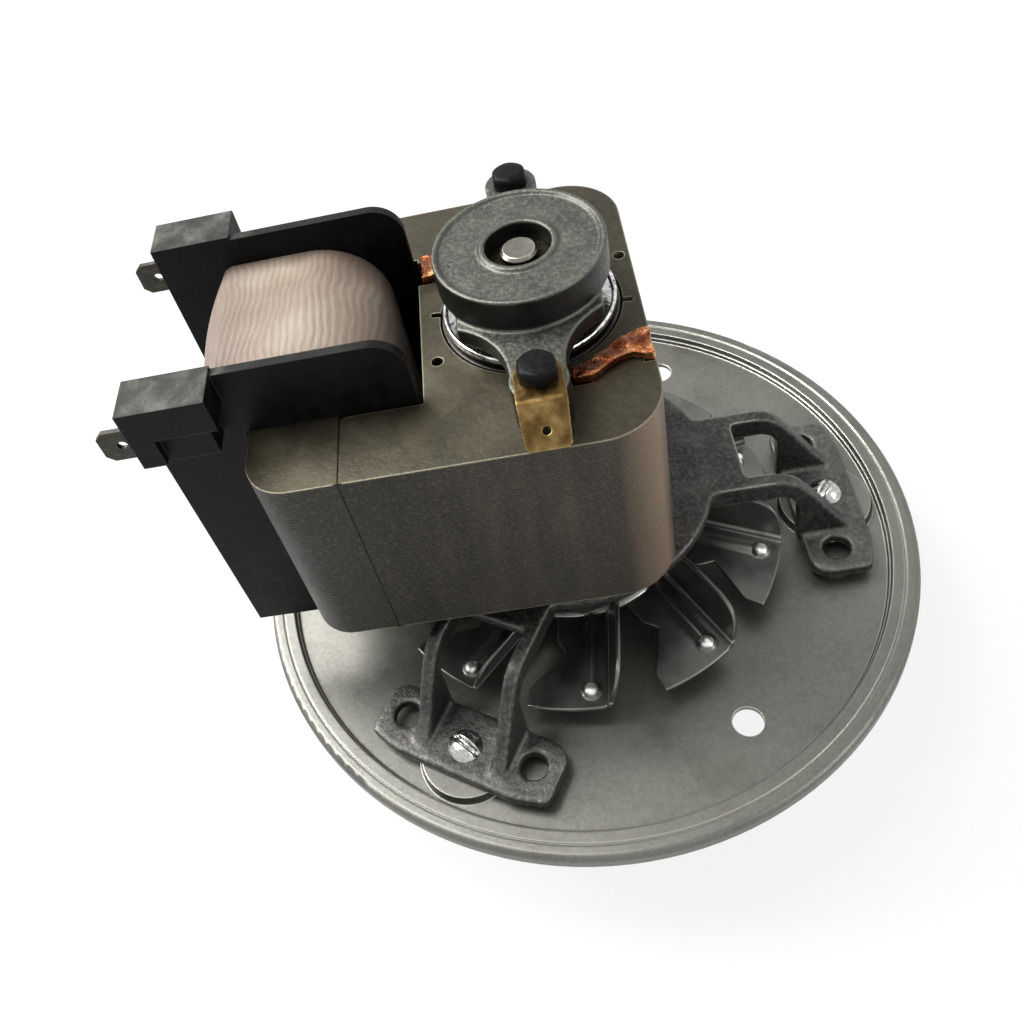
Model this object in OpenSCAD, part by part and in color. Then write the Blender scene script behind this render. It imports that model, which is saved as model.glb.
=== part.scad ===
// Oven fan motor on a round mounting plate. The shaft axis is Z and the plate's back face is z = 0.
// The coil lies towards -X, the two through bolts lie on the Y axis, and the drive end points down.

/* [Mounting plate] */
// Outside diameter of the pressed plate
plate_d = 130; // [128:1:140]
// Sheet thickness of the plate
plate_t = 1; // [0.8:0.1:1.2]
// Height of the raised rim above the recessed disc
rim_rise = 2; // [1.6:0.1:2.4]
// Width of the raised rim, from the recess to the outer edge
rim_w = 4.8; // [4.4:0.1:5]
// Width of the fine bead line in the rim
rim_line_w = 0.4; // [0.3:0.1:0.6]
// Circle on which the plate holes and the bracket screws lie
hole_circle_d = 100; // [98:1:101]
// Diameter of the three plate holes
plate_hole_d = 5.5; // [4.5:0.1:6.5]
// Diameter of the middle hole that the shaft passes through
centre_hole_d = 14; // [12:1:18]
// Top diameter of the round embossed seat under each bracket foot
seat_d = 17; // [16:0.5:17.5]
// Height of the embossed seat
seat_rise = 1.8; // [1.5:0.1:2]

/* [Lower bracket] */
// Height of the bracket web's top above the plate's back face
bracket_h = 22.5; // [21:0.5:26]
// Thickness of the cast web
web_t = 2.4; // [2:0.1:3]
// Radius of the round middle web
web_r = 28; // [27.8:0.1:30]
// Distance from an arm's middle line to the middle of each of its ribs
rib_y = 7.8; // [7:0.1:8.5]
// Thickness of each rib
rib_t = 2.6; // [2:0.1:3]
// Depth of a rib under the web
rib_h = 4.5; // [4:0.1:5]
// Radius at which the ribs begin to curve down
rib_bend_r = 38; // [37:0.5:39]
// Radius of the inner face of the rib's claw
claw_r = 42.2; // [42:0.1:43]
// Radius of the inner corner of the claw
claw_round = 4.4; // [3:0.1:5]
// Radius at which the web opens between the ribs
window_r = 33; // [31:0.5:35]
// Thickness of the foot pad
pad_t = 2.4; // [2:0.1:3]
// Inner radius of the foot pad
pad_in_r = 42.9; // [42.5:0.1:43.5]
// Outer radius of the foot pad
pad_out_r = 55.4; // [55:0.1:56]
// Width of the foot pad across the arm
pad_w = 36; // [34:0.5:38]
// Corner radius of the foot pad
pad_round = 3.4; // [2.5:0.1:4]
// Diameter of the two spare holes in each foot
foot_hole_d = 5; // [4:0.1:5.5]
// Distance between the two spare holes
foot_hole_gap = 25.8; // [24.6:0.2:27]
// Diameter of the bearing boss
boss_d = 18; // [17.6:0.2:20]
// Height of the bearing boss under the web's top
boss_h = 9.5; // [9.3:0.1:9.8]

/* [Stator] */
// Height of the lamination stack
stack_h = 40.4; // [36:0.4:50]
// Gap between the bracket web and the stack
stator_gap = 4.7; // [4.2:0.1:6]
// Width of the laminations along Y
core_w = 61; // [59:0.5:64]
// Distance from the shaft axis to the plain end of the core
core_right = 17.5; // [17.2:0.1:19]
// Distance from the shaft axis to the joint with the coil bar
core_joint = 31.6; // [31.4:0.1:33]
// Radius of the core's two plain-end corners
core_round = 10; // [8:0.5:12]
// Distance from the shaft axis to the near edge of the coil window
window_x = 18.2; // [17.9:0.1:18.4]
// Bore of the stator
bore_d = 29.6; // [29.4:0.1:30]
// Width of the bar that carries the coil
bar_w = 14.8; // [13:0.2:16]
// Radius of the coil bar's outer corners
bar_round = 7; // [5:0.5:7.2]
// Distance from the core's side to the middle of the through bolt next to it
bolt_inset = 6.9; // [6.5:0.1:7.3]
// Diameter of the four locating holes' punch
locating_hole_d = 1.9; // [1.5:0.1:2.1]

/* [Coil] */
// Thickness of the bobbin's two flanges
flange_t = 1.6; // [1.2:0.1:1.8]
// Distance between the outer faces of the flanges
bobbin_w = 34; // [32:0.5:36]
// Height of the flanges above the stack
flange_up = 13.4; // [12:0.2:15]
// Depth of the flanges under the stack
flange_down = 11.6; // [9.5:0.2:12]
// Reach of the flanges past the coil bar on the outer side
flange_out = 15.6; // [15:0.2:18]
// Corner radius of the flanges
flange_round = 5.4; // [3:0.2:7]
// Wall of the bobbin's tube
tube_t = 1; // [0.8:0.1:1.2]
// Thickness of the winding round the tube, at the middle of its length
coil_t = 8.4; // [7.8:0.1:8.8]
// Rise of the winding from its two ends to its middle
coil_crown = 1.7; // [0.8:0.1:2]
// Radius of the winding's corners on the shaft's side
coil_round_in = 12; // [8:0.5:12.5]
// Radius of the winding's corners on the outer side
coil_round_out = 5; // [3:0.5:8]

/* [Terminals] */
// Length of a terminal block along X
block_l = 14; // [12:0.5:16]
// Depth of a terminal block from its flange
block_d = 6; // [5:0.2:7]
// Height of a terminal block
block_h = 6.3; // [5:0.1:8]
// Width of the step under a terminal block
block_step_l = 3.8; // [3:0.1:5]
// Height of the step under a terminal block
block_step_h = 5.6; // [4:0.1:6.5]
// Width of a push-on tab
tab_w = 6.3; // [4.8:0.1:6.3]
// Thickness of a push-on tab
tab_t = 0.8; // [0.5:0.1:0.8]
// Length of a push-on tab outside its block
tab_l = 6.2; // [6:0.1:8.5]
// Depth of the middle of the tabs under the top of the blocks
tab_drop = 8.6; // [8.4:0.1:9]
// Width of the earth tab at its bolt
earth_w = 7.4; // [7.2:0.1:8]
// Length of the earth tab's sloping blade
earth_l = 7; // [6.4:0.1:7.5]
// Downward slope of the earth tab
earth_slope = 33; // [20:1:36]

/* [Upper bracket] */
// Diameter of the round bearing cap
cap_d = 27.2; // [26.4:0.2:28]
// Height of the bearing cap
cap_h = 5.8; // [5.4:0.1:6.4]
// Diameter of the open hole in the middle of the cap
cap_hole_d = 10.4; // [10.2:0.1:11]
// Wall and roof thickness of the cap
cap_wall = 1.8; // [1.5:0.1:2.2]
// Thickness of the yoke that carries the cap
yoke_t = 3; // [2.6:0.1:3.4]
// Height of the yoke's two legs
leg_h = 4.8; // [4.6:0.1:5.4]
// Diameter of each leg
leg_d = 8.8; // [8.4:0.1:9.4]
// Radius of the hollow sides of the yoke
yoke_hollow = 12; // [10:0.5:13]

/* [Fasteners] */
// Diameter of the through bolts
bolt_d = 3.5; // [3:0.1:4]
// Width across flats of the bolt heads
bolt_af = 5.8; // [5.5:0.1:6.4]
// Height of the bolt heads
bolt_head_h = 2.6; // [2:0.1:3]
// Diameter of the foot screws
screw_d = 3.5; // [3:0.1:4]
// Diameter of the foot screws' heads
screw_head_d = 6.4; // [5.6:0.1:7]
// Height of the foot screws' heads
screw_head_h = 2; // [1.6:0.1:2.4]

/* [Rotor] */
// Diameter of the shaft
shaft_d = 6; // [5.8:0.1:6.2]
// Length of shaft that stands out under the plate
shaft_out = 24; // [18:1:32]
// Diameter of the turned-down drive end
drive_end_d = 5; // [4.6:0.1:5.4]
// Length of the turned-down drive end
drive_end_l = 18; // [12:1:22]
// Depth of the shaft's top end under the top of the cap
shaft_sink = 1; // [0.6:0.1:1.8]
// Air gap between rotor and stator
air_gap = 0.35; // [0.3:0.05:0.5]
// Height of each end ring of the rotor cage
ring_h = 2.2; // [1.6:0.1:2.6]
// Number of bars in the rotor cage
cage_bars = 15; // [11:1:17]

/* [Cooling fan] */
// Number of blades
blades = 10; // [8:1:10]
// Outer diameter of the fan
fan_d = 80.6; // [76:0.2:81]
// Sheet thickness of the fan
fan_t = 0.7; // [0.5:0.1:0.8]
// Height of the fan's underside above the plate's back face
fan_z = 6.2; // [5.6:0.1:6.8]
// Diameter of the fan's plain middle disc
fan_disc_d = 42.4; // [41:0.2:44]
// Height of the vane bent up from each blade
vane_h = 8.6; // [6:0.1:8.8]
// Outward lean of the vanes
vane_lean = 15; // [10:1:18]

/* [Hidden] */
$fn = 64;
// Length by which a cutting body runs past the face that it cuts
over = 1;
// Fit between a piece and the seat that holds it
seat_fit = 0.05;
// Radial clearance of the shaft in its bearings
shaft_fit = 0.03;
// Clearance between neighbouring pieces that only lie beside each other
side_fit = 0.1;

shaft_r = shaft_d / 2;
plate_r = plate_d / 2;
hole_circle_r = hole_circle_d / 2;
rim_top = plate_t + rim_rise;
recess_r = plate_r - rim_w;
arm_turn = 120;
arm_angles = [0, arm_turn, 2 * arm_turn];
seat_r = seat_d / 2;
seat_top = plate_t + seat_rise;
pad_top = seat_top + pad_t;
stack_z = bracket_h + stator_gap;
stack_top = stack_z + stack_h;
bore_r = bore_d / 2;
bolt_y = core_w / 2 - bolt_inset;
bar_left = core_joint + bar_w;
yoke_z = stack_top + leg_h;
cap_z = yoke_z + yoke_t;
cap_top = cap_z + cap_h;
bobbin_y = bobbin_w / 2;
flange_y = bobbin_y - flange_t;
flange_z = stack_z - flange_down;
flange_top = stack_top + flange_up;
flange_left = bar_left + flange_out;
block_top = flange_top + 0.6;
tab_z = block_top - tab_drop;
tab_y = bobbin_y + block_d / 2;
rotor_r = bore_r - air_gap;

// Bearing set: a sintered bush, an oil felt round it and a spring washer that holds both.
bush_r = 5;
bush_h = 6.7;
bush_seat_h = 3.3;
pocket_r = 7.4;
bush_gap = 0.3;
felt_h = 2.3;
retainer_t = 0.7;
washer_t = 0.8;
washer_r = 4.8;
spacer_r = 4.5;
lower_bush_z = bracket_h - boss_h + 1.3;
upper_bush_z = cap_top - 3 - bush_h;

// Rounded rectangle from one corner to the other, with corner radius r.
module round_rect(low, high, r) {
    for (x = [low[0] + r, high[0] - r]) for (y = [low[1] + r, high[1] - r]) translate([x, y]) circle(r);
    translate([low[0] + r, low[1]]) square([high[0] - low[0] - 2 * r, high[1] - low[1]]);
    translate([low[0], low[1] + r]) square([high[0] - low[0], high[1] - low[1] - 2 * r]);
}

// Upright ring or tube between two radii.
module tube(z, h, r_out, r_in) {
    translate([0, 0, z]) difference() {
        cylinder(h = h, r = r_out);
        translate([0, 0, -over]) cylinder(h = h + 2 * over, r = r_in);
    }
}

// Pressed plate: recessed disc, raised rim with a fine line, and an edge turned down to the wall.
edge_round = 1.2;
flank_run = 0.8;
line_r = plate_r - 2.8;
line_depth = 0.25;
seat_flare = 0.8;

module plate_profile() {
    edge_r = plate_r - edge_round;
    difference() {
        union() {
            square([plate_r, plate_t]);
            polygon([[recess_r - flank_run, 0], [recess_r, rim_top], [edge_r, rim_top], [edge_r, 0]]);
            square([plate_r, rim_top - edge_round]);
            translate([edge_r, rim_top - edge_round]) circle(edge_round);
        }
        polygon([
            [0, plate_t], [recess_r - flank_run, plate_t], [recess_r, rim_top],
            [recess_r, rim_top + over], [0, rim_top + over]
        ]);
        polygon([
            [recess_r + plate_t - flank_run, -over], [recess_r + plate_t - flank_run, 0],
            [recess_r + plate_t, rim_top - plate_t], [plate_r - plate_t, rim_top - plate_t],
            [plate_r - plate_t, -over]
        ]);
        translate([line_r, rim_top - line_depth]) square([rim_line_w, line_depth + over]);
    }
}

module mounting_plate() {
    color("#9a988f") difference() {
        union() {
            rotate_extrude($fn = 180) plate_profile();
            for (a = arm_angles) rotate(a) translate([hole_circle_r, 0, 0])
                cylinder(h = seat_top, r1 = seat_r + seat_flare, r2 = seat_r);
        }
        translate([0, 0, -over]) cylinder(h = rim_top + 2 * over, d = centre_hole_d);
        for (a = arm_angles) rotate(a) {
            translate([hole_circle_r, 0, -over])
                cylinder(h = over + seat_rise, r = seat_r - plate_t);
            translate([hole_circle_r, 0, 0])
                cylinder(h = seat_top + over, d = screw_d + 2 * seat_fit);
            rotate(arm_turn / 2) translate([hole_circle_r, 0, -over])
                cylinder(h = plate_t + 2 * over, d = plate_hole_d);
        }
    }
}

// Die-cast tripod: round web, three arms of two claw-like ribs each, and a flat foot on each arm.
rib_steps = 14;

rib_lean = 1.1;
rib_start = 4;
rib_sink = 0.5;
rib_low = pad_top - rib_sink;
rib_end = pad_out_r - rib_sink;

// Height of a rib's back: half a cosine wave from the web's top (t = 0) into the foot pad (t = 1).
function rib_back(t) = rib_low + (bracket_h - rib_low) * (1 + cos(180 * pow(t, rib_lean))) / 2;

post_z = bracket_h - rib_h - 0.4;

// Clearance of the notch in the web through which the bobbin and the winding hang.
coil_notch_fit = 0.8;

module rib_profile() {
    floor_z = bracket_h - rib_h;
    difference() {
        polygon(concat(
            [[rib_start, seat_top + rib_sink], [rib_start, bracket_h]],
            [for (i = [0:rib_steps]) [
                rib_bend_r + (rib_end - rib_bend_r) * i / rib_steps, rib_back(i / rib_steps)
            ]],
            [[rib_end, seat_top + rib_sink]]
        ));
        translate([-over, -over]) square([claw_r + over, floor_z - claw_round + over]);
        translate([-over, -over]) square([claw_r - claw_round + over, floor_z + over]);
        translate([claw_r - claw_round, floor_z - claw_round]) circle(claw_round);
    }
}

module arm() {
    for (side = [-1, 1]) translate([0, side * rib_y + rib_t / 2, 0])
        rotate([90, 0, 0]) linear_extrude(rib_t) rib_profile();
    translate([0, -rib_y, bracket_h - web_t]) cube([window_r, 2 * rib_y, web_t]);
    translate([0, 0, seat_top]) linear_extrude(pad_t) intersection() {
        round_rect([pad_in_r, -pad_w / 2], [pad_out_r, pad_w / 2], pad_round);
        circle(r = pad_out_r + 1.2, $fn = 180);
    }
}

module lower_bracket() {
    color("#56554f") difference() {
        union() {
            translate([0, 0, bracket_h - web_t]) cylinder(h = web_t, r = web_r);
            translate([0, 0, bracket_h - boss_h]) cylinder(h = boss_h, d = boss_d);
            for (side = [-1, 1]) translate([0, side * bolt_y, post_z])
                cylinder(h = stack_z - post_z, d = leg_d - 0.8);
            for (a = arm_angles) rotate(a) arm();
        }
        linear_extrude(stack_z) round_rect(
            [-plate_r, -bobbin_y - coil_notch_fit],
            [-window_x + coil_notch_fit, bobbin_y + coil_notch_fit], 3
        );
        translate([0, 0, lower_bush_z]) cylinder(h = boss_h + over, r = bush_r + seat_fit);
        translate([0, 0, lower_bush_z + bush_seat_h]) cylinder(h = boss_h, r = pocket_r);
        translate([0, 0, bracket_h - boss_h - over]) cylinder(h = boss_h, r = shaft_r + bush_gap);
        for (side = [-1, 1]) translate([0, side * bolt_y, 0])
            cylinder(h = stack_z + over, d = bolt_d + 2 * seat_fit);
        for (a = arm_angles) rotate(a) {
            translate([hole_circle_r, 0, 0]) cylinder(h = pad_top + over, d = screw_d + 2 * seat_fit);
            for (side = [-1, 1]) translate([hole_circle_r - 1.5, side * foot_hole_gap / 2, 0])
                cylinder(h = pad_top + over, d = foot_hole_d);
        }
    }
}

// Round-headed screws that hold the three feet down on the embossed seats.
screw_tail = 2.6;

module foot_screws() {
    color("#b9b9b4") for (a = arm_angles) rotate(a) translate([hole_circle_r, 0, 0]) {
        translate([0, 0, seat_top - screw_tail]) cylinder(h = screw_tail + pad_t, d = screw_d);
        translate([0, 0, pad_top]) intersection() {
            cylinder(h = screw_head_h, d = screw_head_d);
            translate([0, 0, screw_head_h - screw_head_d]) sphere(r = screw_head_d);
        }
    }
}

// One bearing set: up = 1 for the lower bracket, whose pocket opens upwards, and -1 for the cap.
module bush() {
    tube(0, bush_h, bush_r, shaft_r + shaft_fit);
}

module felt(z) {
    tube(z, felt_h, pocket_r - bush_gap, bush_r + bush_gap);
}

module retainer(z) {
    tube(z, retainer_t, pocket_r - seat_fit, bush_r + bush_gap);
}

module lower_bearing() {
    color("#8a6a3e") translate([0, 0, lower_bush_z]) bush();
}

module lower_felt() {
    color("#cfc4a6") felt(lower_bush_z + bush_seat_h + side_fit);
}

module lower_retainer() {
    color("#8f9092") retainer(lower_bush_z + bush_h - retainer_t);
}

module upper_bearing() {
    color("#8a6a3e") translate([0, 0, upper_bush_z]) bush();
}

module upper_felt() {
    color("#cfc4a6") felt(upper_bush_z + bush_h - bush_seat_h - side_fit - felt_h);
}

module upper_retainer() {
    color("#8f9092") retainer(upper_bush_z);
}

// Laminated C-shaped core: two arms towards the coil bar, the bore, slots for the shading rings.
ring_t = 1.8;
ring_strip_t = 1.7;
ring_leg_in = [[4.6, 16.6], [7.4, 18.9]];
ring_leg_out = [[core_right - ring_strip_t, 10.4], [core_right, 16.4]];
ring_bore_side = [[6.4, 16], [9.7, 13.9], [13, 11.3]];
ring_far_side = [[14.2, 15.7], [12.1, 15.9], [9.6, 17.7]];
notch_w = 1;
notch_reach = 1.6;
notch_angle = 8;
locating_hole = [15.7, 8.7];

module core_outline() {
    difference() {
        union() {
            round_rect([-core_joint, -core_w / 2], [core_right, core_w / 2], core_round);
            translate([-core_joint, -core_w / 2]) square([core_joint, core_w]);
        }
        translate([-core_joint - over, -bobbin_y - 0.3])
            square([core_joint - window_x + over, bobbin_w + 0.6]);
        circle(bore_r);
        for (turn = [0, 180]) rotate(turn) {
            rotate(-notch_angle) translate([0, -notch_w / 2]) square([bore_r + notch_reach, notch_w]);
            translate(locating_hole) circle(d = locating_hole_d);
            mirror([0, 1]) {
                translate(ring_leg_in[0] - [seat_fit, seat_fit])
                    square(ring_leg_in[1] - ring_leg_in[0] + 2 * [seat_fit, seat_fit]);
                translate(ring_leg_out[0] - [seat_fit, seat_fit])
                    square(ring_leg_out[1] - ring_leg_out[0] + [over + seat_fit, 2 * seat_fit]);
            }
        }
        for (side = [-1, 1]) translate([0, side * bolt_y]) circle(d = bolt_d + 0.5);
    }
}

module stator_core() {
    color("#6b6456") translate([0, 0, stack_z]) linear_extrude(stack_h) core_outline();
}

// Laminated bar that closes the core and carries the coil.
module coil_bar() {
    color("#625c50") translate([0, 0, stack_z]) linear_extrude(stack_h) {
        round_rect([-bar_left, -core_w / 2], [-core_joint - seat_fit, core_w / 2], bar_round);
        translate([-bar_left + bar_round, -core_w / 2])
            square([bar_w - bar_round - seat_fit, core_w]);
    }
}

// Closed copper ring round one pole tip: two runs over the faces joined by two upright legs.
module ring_run() {
    polygon(concat(
        [ring_leg_in[0]], ring_bore_side, [ring_leg_out[0]],
        [[core_right, ring_leg_out[0][1]], ring_leg_out[1], [ring_leg_out[0][0], ring_leg_out[1][1]]],
        ring_far_side, [ring_leg_in[1], [ring_leg_in[0][0], ring_leg_in[1][1]]]
    ));
}

module shading_ring() {
    for (z = [stack_z - ring_t, stack_top]) translate([0, 0, z]) linear_extrude(ring_t) ring_run();
    for (leg = [ring_leg_in, ring_leg_out]) translate([leg[0][0], leg[0][1], stack_z])
        cube([leg[1][0] - leg[0][0], leg[1][1] - leg[0][1], stack_h]);
}

module shading_ring_front() {
    color("#a8572a") mirror([0, 1, 0]) shading_ring();
}

module shading_ring_rear() {
    color("#a8572a") rotate(180) mirror([0, 1, 0]) shading_ring();
}

// Moulded bobbin: square tube on the bar, two flanges, and a terminal block on each flange.
tube_fit = 0.3;
bar_low = [-bar_left - tube_fit, stack_z - tube_fit];
bar_high = [-core_joint + tube_fit, stack_top + tube_fit];
block_left = -flange_left;

module flange_outline() {
    difference() {
        round_rect([-flange_left, flange_z], [-window_x - 0.6, flange_top], flange_round);
        translate(bar_low) square(bar_high - bar_low);
    }
    translate([-flange_left, flange_z]) square([flange_round, flange_top - flange_z]);
}

module terminal_block() {
    difference() {
        union() {
            translate([block_left, bobbin_y, block_top - block_h]) cube([block_l, block_d, block_h]);
            translate([block_left, bobbin_y, block_top - block_h - block_step_h])
                cube([block_step_l, block_d, block_step_h]);
            translate([block_left, flange_y, flange_top - over])
                cube([block_l, flange_t, block_top - flange_top + over]);
            translate([block_left, bobbin_y, tab_z - tab_w / 2 - 1])
                cube([block_l - 2, block_d / 2 + 1.4, tab_w + 2]);
        }
        translate([block_left - over, tab_y - tab_t / 2 - seat_fit, tab_z - tab_w / 2 - seat_fit])
            cube([block_l - 4 + over, tab_t + 2 * seat_fit, tab_w + 2 * seat_fit]);
    }
}

module bobbin() {
    color("#1b1b1c") {
        for (side = [0, 1]) mirror([0, side, 0]) {
            translate([0, bobbin_y, 0]) rotate([90, 0, 0]) linear_extrude(flange_t) flange_outline();
            terminal_block();
        }
        translate([0, flange_y, 0]) rotate([90, 0, 0]) linear_extrude(2 * flange_y) difference() {
            translate(bar_low - [tube_t, tube_t]) square(bar_high - bar_low + 2 * [tube_t, tube_t]);
            translate(bar_low) square(bar_high - bar_low);
        }
    }
}

// Winding under its tape: a rounded block round the bobbin's tube.
module winding_outline(low, high) {
    middle = (low[0] + high[0]) / 2;
    intersection() {
        round_rect(low, [high[0] + coil_round_out, high[1]], coil_round_out);
        round_rect([low[0] - coil_round_in, low[1]], high, coil_round_in);
    }
    translate([middle - over, low[1]]) square([2 * over, high[1] - low[1]]);
}

module crown_cutter(r) {
    cylinder(h = 4 * plate_d, r = r, center = true, $fn = 360);
}

module coil_winding() {
    inner_low = bar_low - [tube_t, tube_t];
    inner_high = bar_high + [tube_t, tube_t];
    low = inner_low - [coil_t, coil_t];
    high = inner_high + [coil_t, coil_t];
    half = flange_y - side_fit;
    crown_r = (half * half + coil_crown * coil_crown) / (2 * coil_crown);
    color("#c9b8a6") difference() {
        intersection() {
            translate([0, half, 0]) rotate([90, 0, 0]) linear_extrude(2 * half)
                winding_outline(low, high);
            translate([0, 0, low[1] + crown_r]) rotate([0, 90, 0]) crown_cutter(crown_r);
            translate([0, 0, high[1] - crown_r]) rotate([0, 90, 0]) crown_cutter(crown_r);
            translate([low[0] + crown_r, 0, 0]) crown_cutter(crown_r);
            translate([high[0] - crown_r, 0, 0]) crown_cutter(crown_r);
        }
        translate([inner_low[0], -plate_r, inner_low[1]])
            cube([inner_high[0] - inner_low[0], plate_d, inner_high[1] - inner_low[1]]);
    }
}

// Push-on tab: a flat blade with clipped corners and a latch hole.
tab_clip = 1.2;
tab_hole_d = 1.7;
tab_hole_x = 2.6;
tab_in = 9;

module line_tab() {
    difference() {
        translate([0, tab_y + tab_t / 2, 0]) rotate([90, 0, 0]) linear_extrude(tab_t) polygon([
            [block_left + tab_in, tab_z - tab_w / 2],
            [block_left + tab_in, tab_z + tab_w / 2],
            [block_left - tab_l + tab_clip, tab_z + tab_w / 2],
            [block_left - tab_l, tab_z + tab_w / 2 - tab_clip],
            [block_left - tab_l, tab_z - tab_w / 2 + tab_clip],
            [block_left - tab_l + tab_clip, tab_z - tab_w / 2]
        ]);
        translate([block_left - tab_hole_x, tab_y + over, tab_z]) rotate([90, 0, 0])
            cylinder(h = 2 * over, d = tab_hole_d);
    }
}

module line_tab_front() {
    color("#8d877c") mirror([0, 1, 0]) line_tab();
}

module line_tab_rear() {
    color("#8d877c") line_tab();
}

// Die-cast upper bracket: round cap over the bearing, carried by a yoke with two legs.
cap_bead = 0.5;
cap_bead_w = 0.9;
collar_w = 1;
yoke_inset = 2.4;

module yoke_outline() {
    hollow_x = leg_d / 2 - 0.2 + yoke_hollow;
    hollow_y = bolt_y - 2;
    difference() {
        translate([yoke_inset - cap_d / 2, -hollow_y]) square([cap_d - 2 * yoke_inset, 2 * hollow_y]);
        for (x = [-hollow_x, hollow_x]) for (y = [-hollow_y, hollow_y])
            translate([x, y]) circle(yoke_hollow);
    }
    for (y = [-bolt_y, bolt_y]) translate([0, y]) circle(d = leg_d);
    translate([-leg_d / 2 + 0.2, -bolt_y]) square([leg_d - 0.4, 2 * bolt_y]);
}

module upper_bracket() {
    color("#6f706b") difference() {
        union() {
            difference() {
                translate([0, 0, cap_z]) cylinder(h = cap_h, d = cap_d, $fn = 120);
                tube(cap_z - over, cap_h - cap_wall + over, cap_d / 2 - cap_wall, pocket_r + cap_wall);
                tube(cap_top - cap_bead, cap_bead + over, cap_d / 2 - cap_bead_w, cap_hole_d / 2 + collar_w);
            }
            translate([0, 0, upper_bush_z - side_fit])
                cylinder(h = cap_top - cap_wall - upper_bush_z, r = pocket_r + cap_wall);
            translate([0, 0, yoke_z]) linear_extrude(yoke_t) yoke_outline();
            for (y = [-bolt_y, bolt_y]) translate([0, y, stack_top]) cylinder(h = leg_h, d = leg_d);
        }
        translate([0, 0, stack_top - over])
            cylinder(h = upper_bush_z + bush_h - bush_seat_h - stack_top + over, r = pocket_r);
        translate([0, 0, stack_top]) cylinder(h = upper_bush_z + bush_h - stack_top, r = bush_r + seat_fit);
        translate([0, 0, upper_bush_z + bush_h]) cylinder(h = cap_h, d = cap_hole_d);
        for (y = [-bolt_y, bolt_y]) translate([0, y, stack_top - over])
            cylinder(h = leg_h + yoke_t + 2 * over, d = bolt_d + 0.5);
    }
}

// Brass earth tab, clamped under the front bolt and bent down past the edge of the core.
bend_lap = 0.2;
earth_flat = leg_d / 2 + bend_lap;
earth_blade_w = 6.6;
earth_hole_y = 4.2;
earth_hole_d = 1.2;
earth_clip = 0.6;

module earth_tab() {
    color("#a8853f") translate([0, -bolt_y, cap_z]) {
        difference() {
            union() {
                translate([-earth_w / 2, -earth_flat, 0]) cube([earth_w, earth_flat, tab_t]);
                cylinder(h = tab_t, d = earth_w);
            }
            translate([0, 0, -over]) cylinder(h = tab_t + 2 * over, d = bolt_d + 0.5);
        }
        translate([0, -earth_flat, 0]) rotate([earth_slope, 0, 0]) difference() {
            linear_extrude(tab_t) polygon([
                [-earth_w / 2, bend_lap], [earth_w / 2, bend_lap],
                [earth_blade_w / 2, earth_clip - earth_l], [earth_blade_w / 2 - earth_clip, -earth_l],
                [earth_clip - earth_blade_w / 2, -earth_l], [-earth_blade_w / 2, earth_clip - earth_l]
            ]);
            translate([0, -earth_hole_y, -over]) cylinder(h = tab_t + 2 * over, d = earth_hole_d);
        }
    }
}

// Hexagon bolts that clamp both brackets to the stack and thread into the lower bracket.
module through_bolt(seat) {
    head_ac = bolt_af / cos(30);
    translate([0, 0, bracket_h - rib_h]) cylinder(h = seat - bracket_h + rib_h, d = bolt_d);
    translate([0, 0, seat]) intersection() {
        cylinder(h = bolt_head_h, d = head_ac, $fn = 6);
        translate([0, 0, bolt_head_h - 1.35 * head_ac]) sphere(r = 1.35 * head_ac);
    }
}

module front_bolt() {
    color("#26282b") translate([0, -bolt_y, 0]) through_bolt(cap_z + tab_t);
}

module rear_bolt() {
    color("#26282b") translate([0, bolt_y, 0]) through_bolt(cap_z);
}

// Shaft with chamfered ends, turned down at the drive end. The rotor turns with it.
shaft_chamfer = 0.5;

module shaft() {
    low = -shaft_out;
    high = cap_top - shaft_sink;
    end_r = drive_end_d / 2;
    color("#b0aea8") rotate_extrude() polygon([
        [0, low], [end_r - shaft_chamfer, low], [end_r, low + shaft_chamfer],
        [end_r, low + drive_end_l], [shaft_r, low + drive_end_l],
        [shaft_r, high - shaft_chamfer], [shaft_r - shaft_chamfer, high], [0, high]
    ]);
}

// Laminated rotor with round slots for the cast cage.
cage_bar_r = 1.1;
cage_circle_r = rotor_r - cage_bar_r - 0.6;
slot_fit = 0.02;

module rotor_core() {
    color("#7d7b76") translate([0, 0, stack_z]) linear_extrude(stack_h) difference() {
        circle(rotor_r);
        circle(shaft_r + slot_fit);
        for (i = [0:cage_bars - 1]) rotate(i * 360 / cage_bars) translate([cage_circle_r, 0])
            circle(r = cage_bar_r + slot_fit, $fn = 24);
    }
}

module rotor_cage() {
    color("#b6b8ba") {
        for (z = [stack_z - ring_h, stack_top])
            tube(z, ring_h, rotor_r - 0.3, cage_circle_r - cage_bar_r - 2.4);
        translate([0, 0, stack_z]) for (i = [0:cage_bars - 1]) rotate(i * 360 / cage_bars)
            translate([cage_circle_r, 0, 0]) cylinder(h = stack_h, r = cage_bar_r, $fn = 24);
    }
}

// Spacers and thrust washers between the rotor and its two bearings.
module lower_washer() {
    color("#5a4a38") tube(lower_bush_z + bush_h + side_fit, washer_t, washer_r, shaft_r + side_fit);
}

module lower_spacer() {
    z = lower_bush_z + bush_h + washer_t + 2 * side_fit;
    color("#a89048") tube(z, stack_z - z, spacer_r, shaft_r + slot_fit);
}

module upper_washer() {
    color("#5a4a38") tube(upper_bush_z - side_fit - washer_t, washer_t, washer_r, shaft_r + side_fit);
}

module upper_spacer() {
    z = upper_bush_z - washer_t - 2 * side_fit;
    color("#a89048") tube(stack_top, z - stack_top, spacer_r, shaft_r + slot_fit);
}

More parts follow.
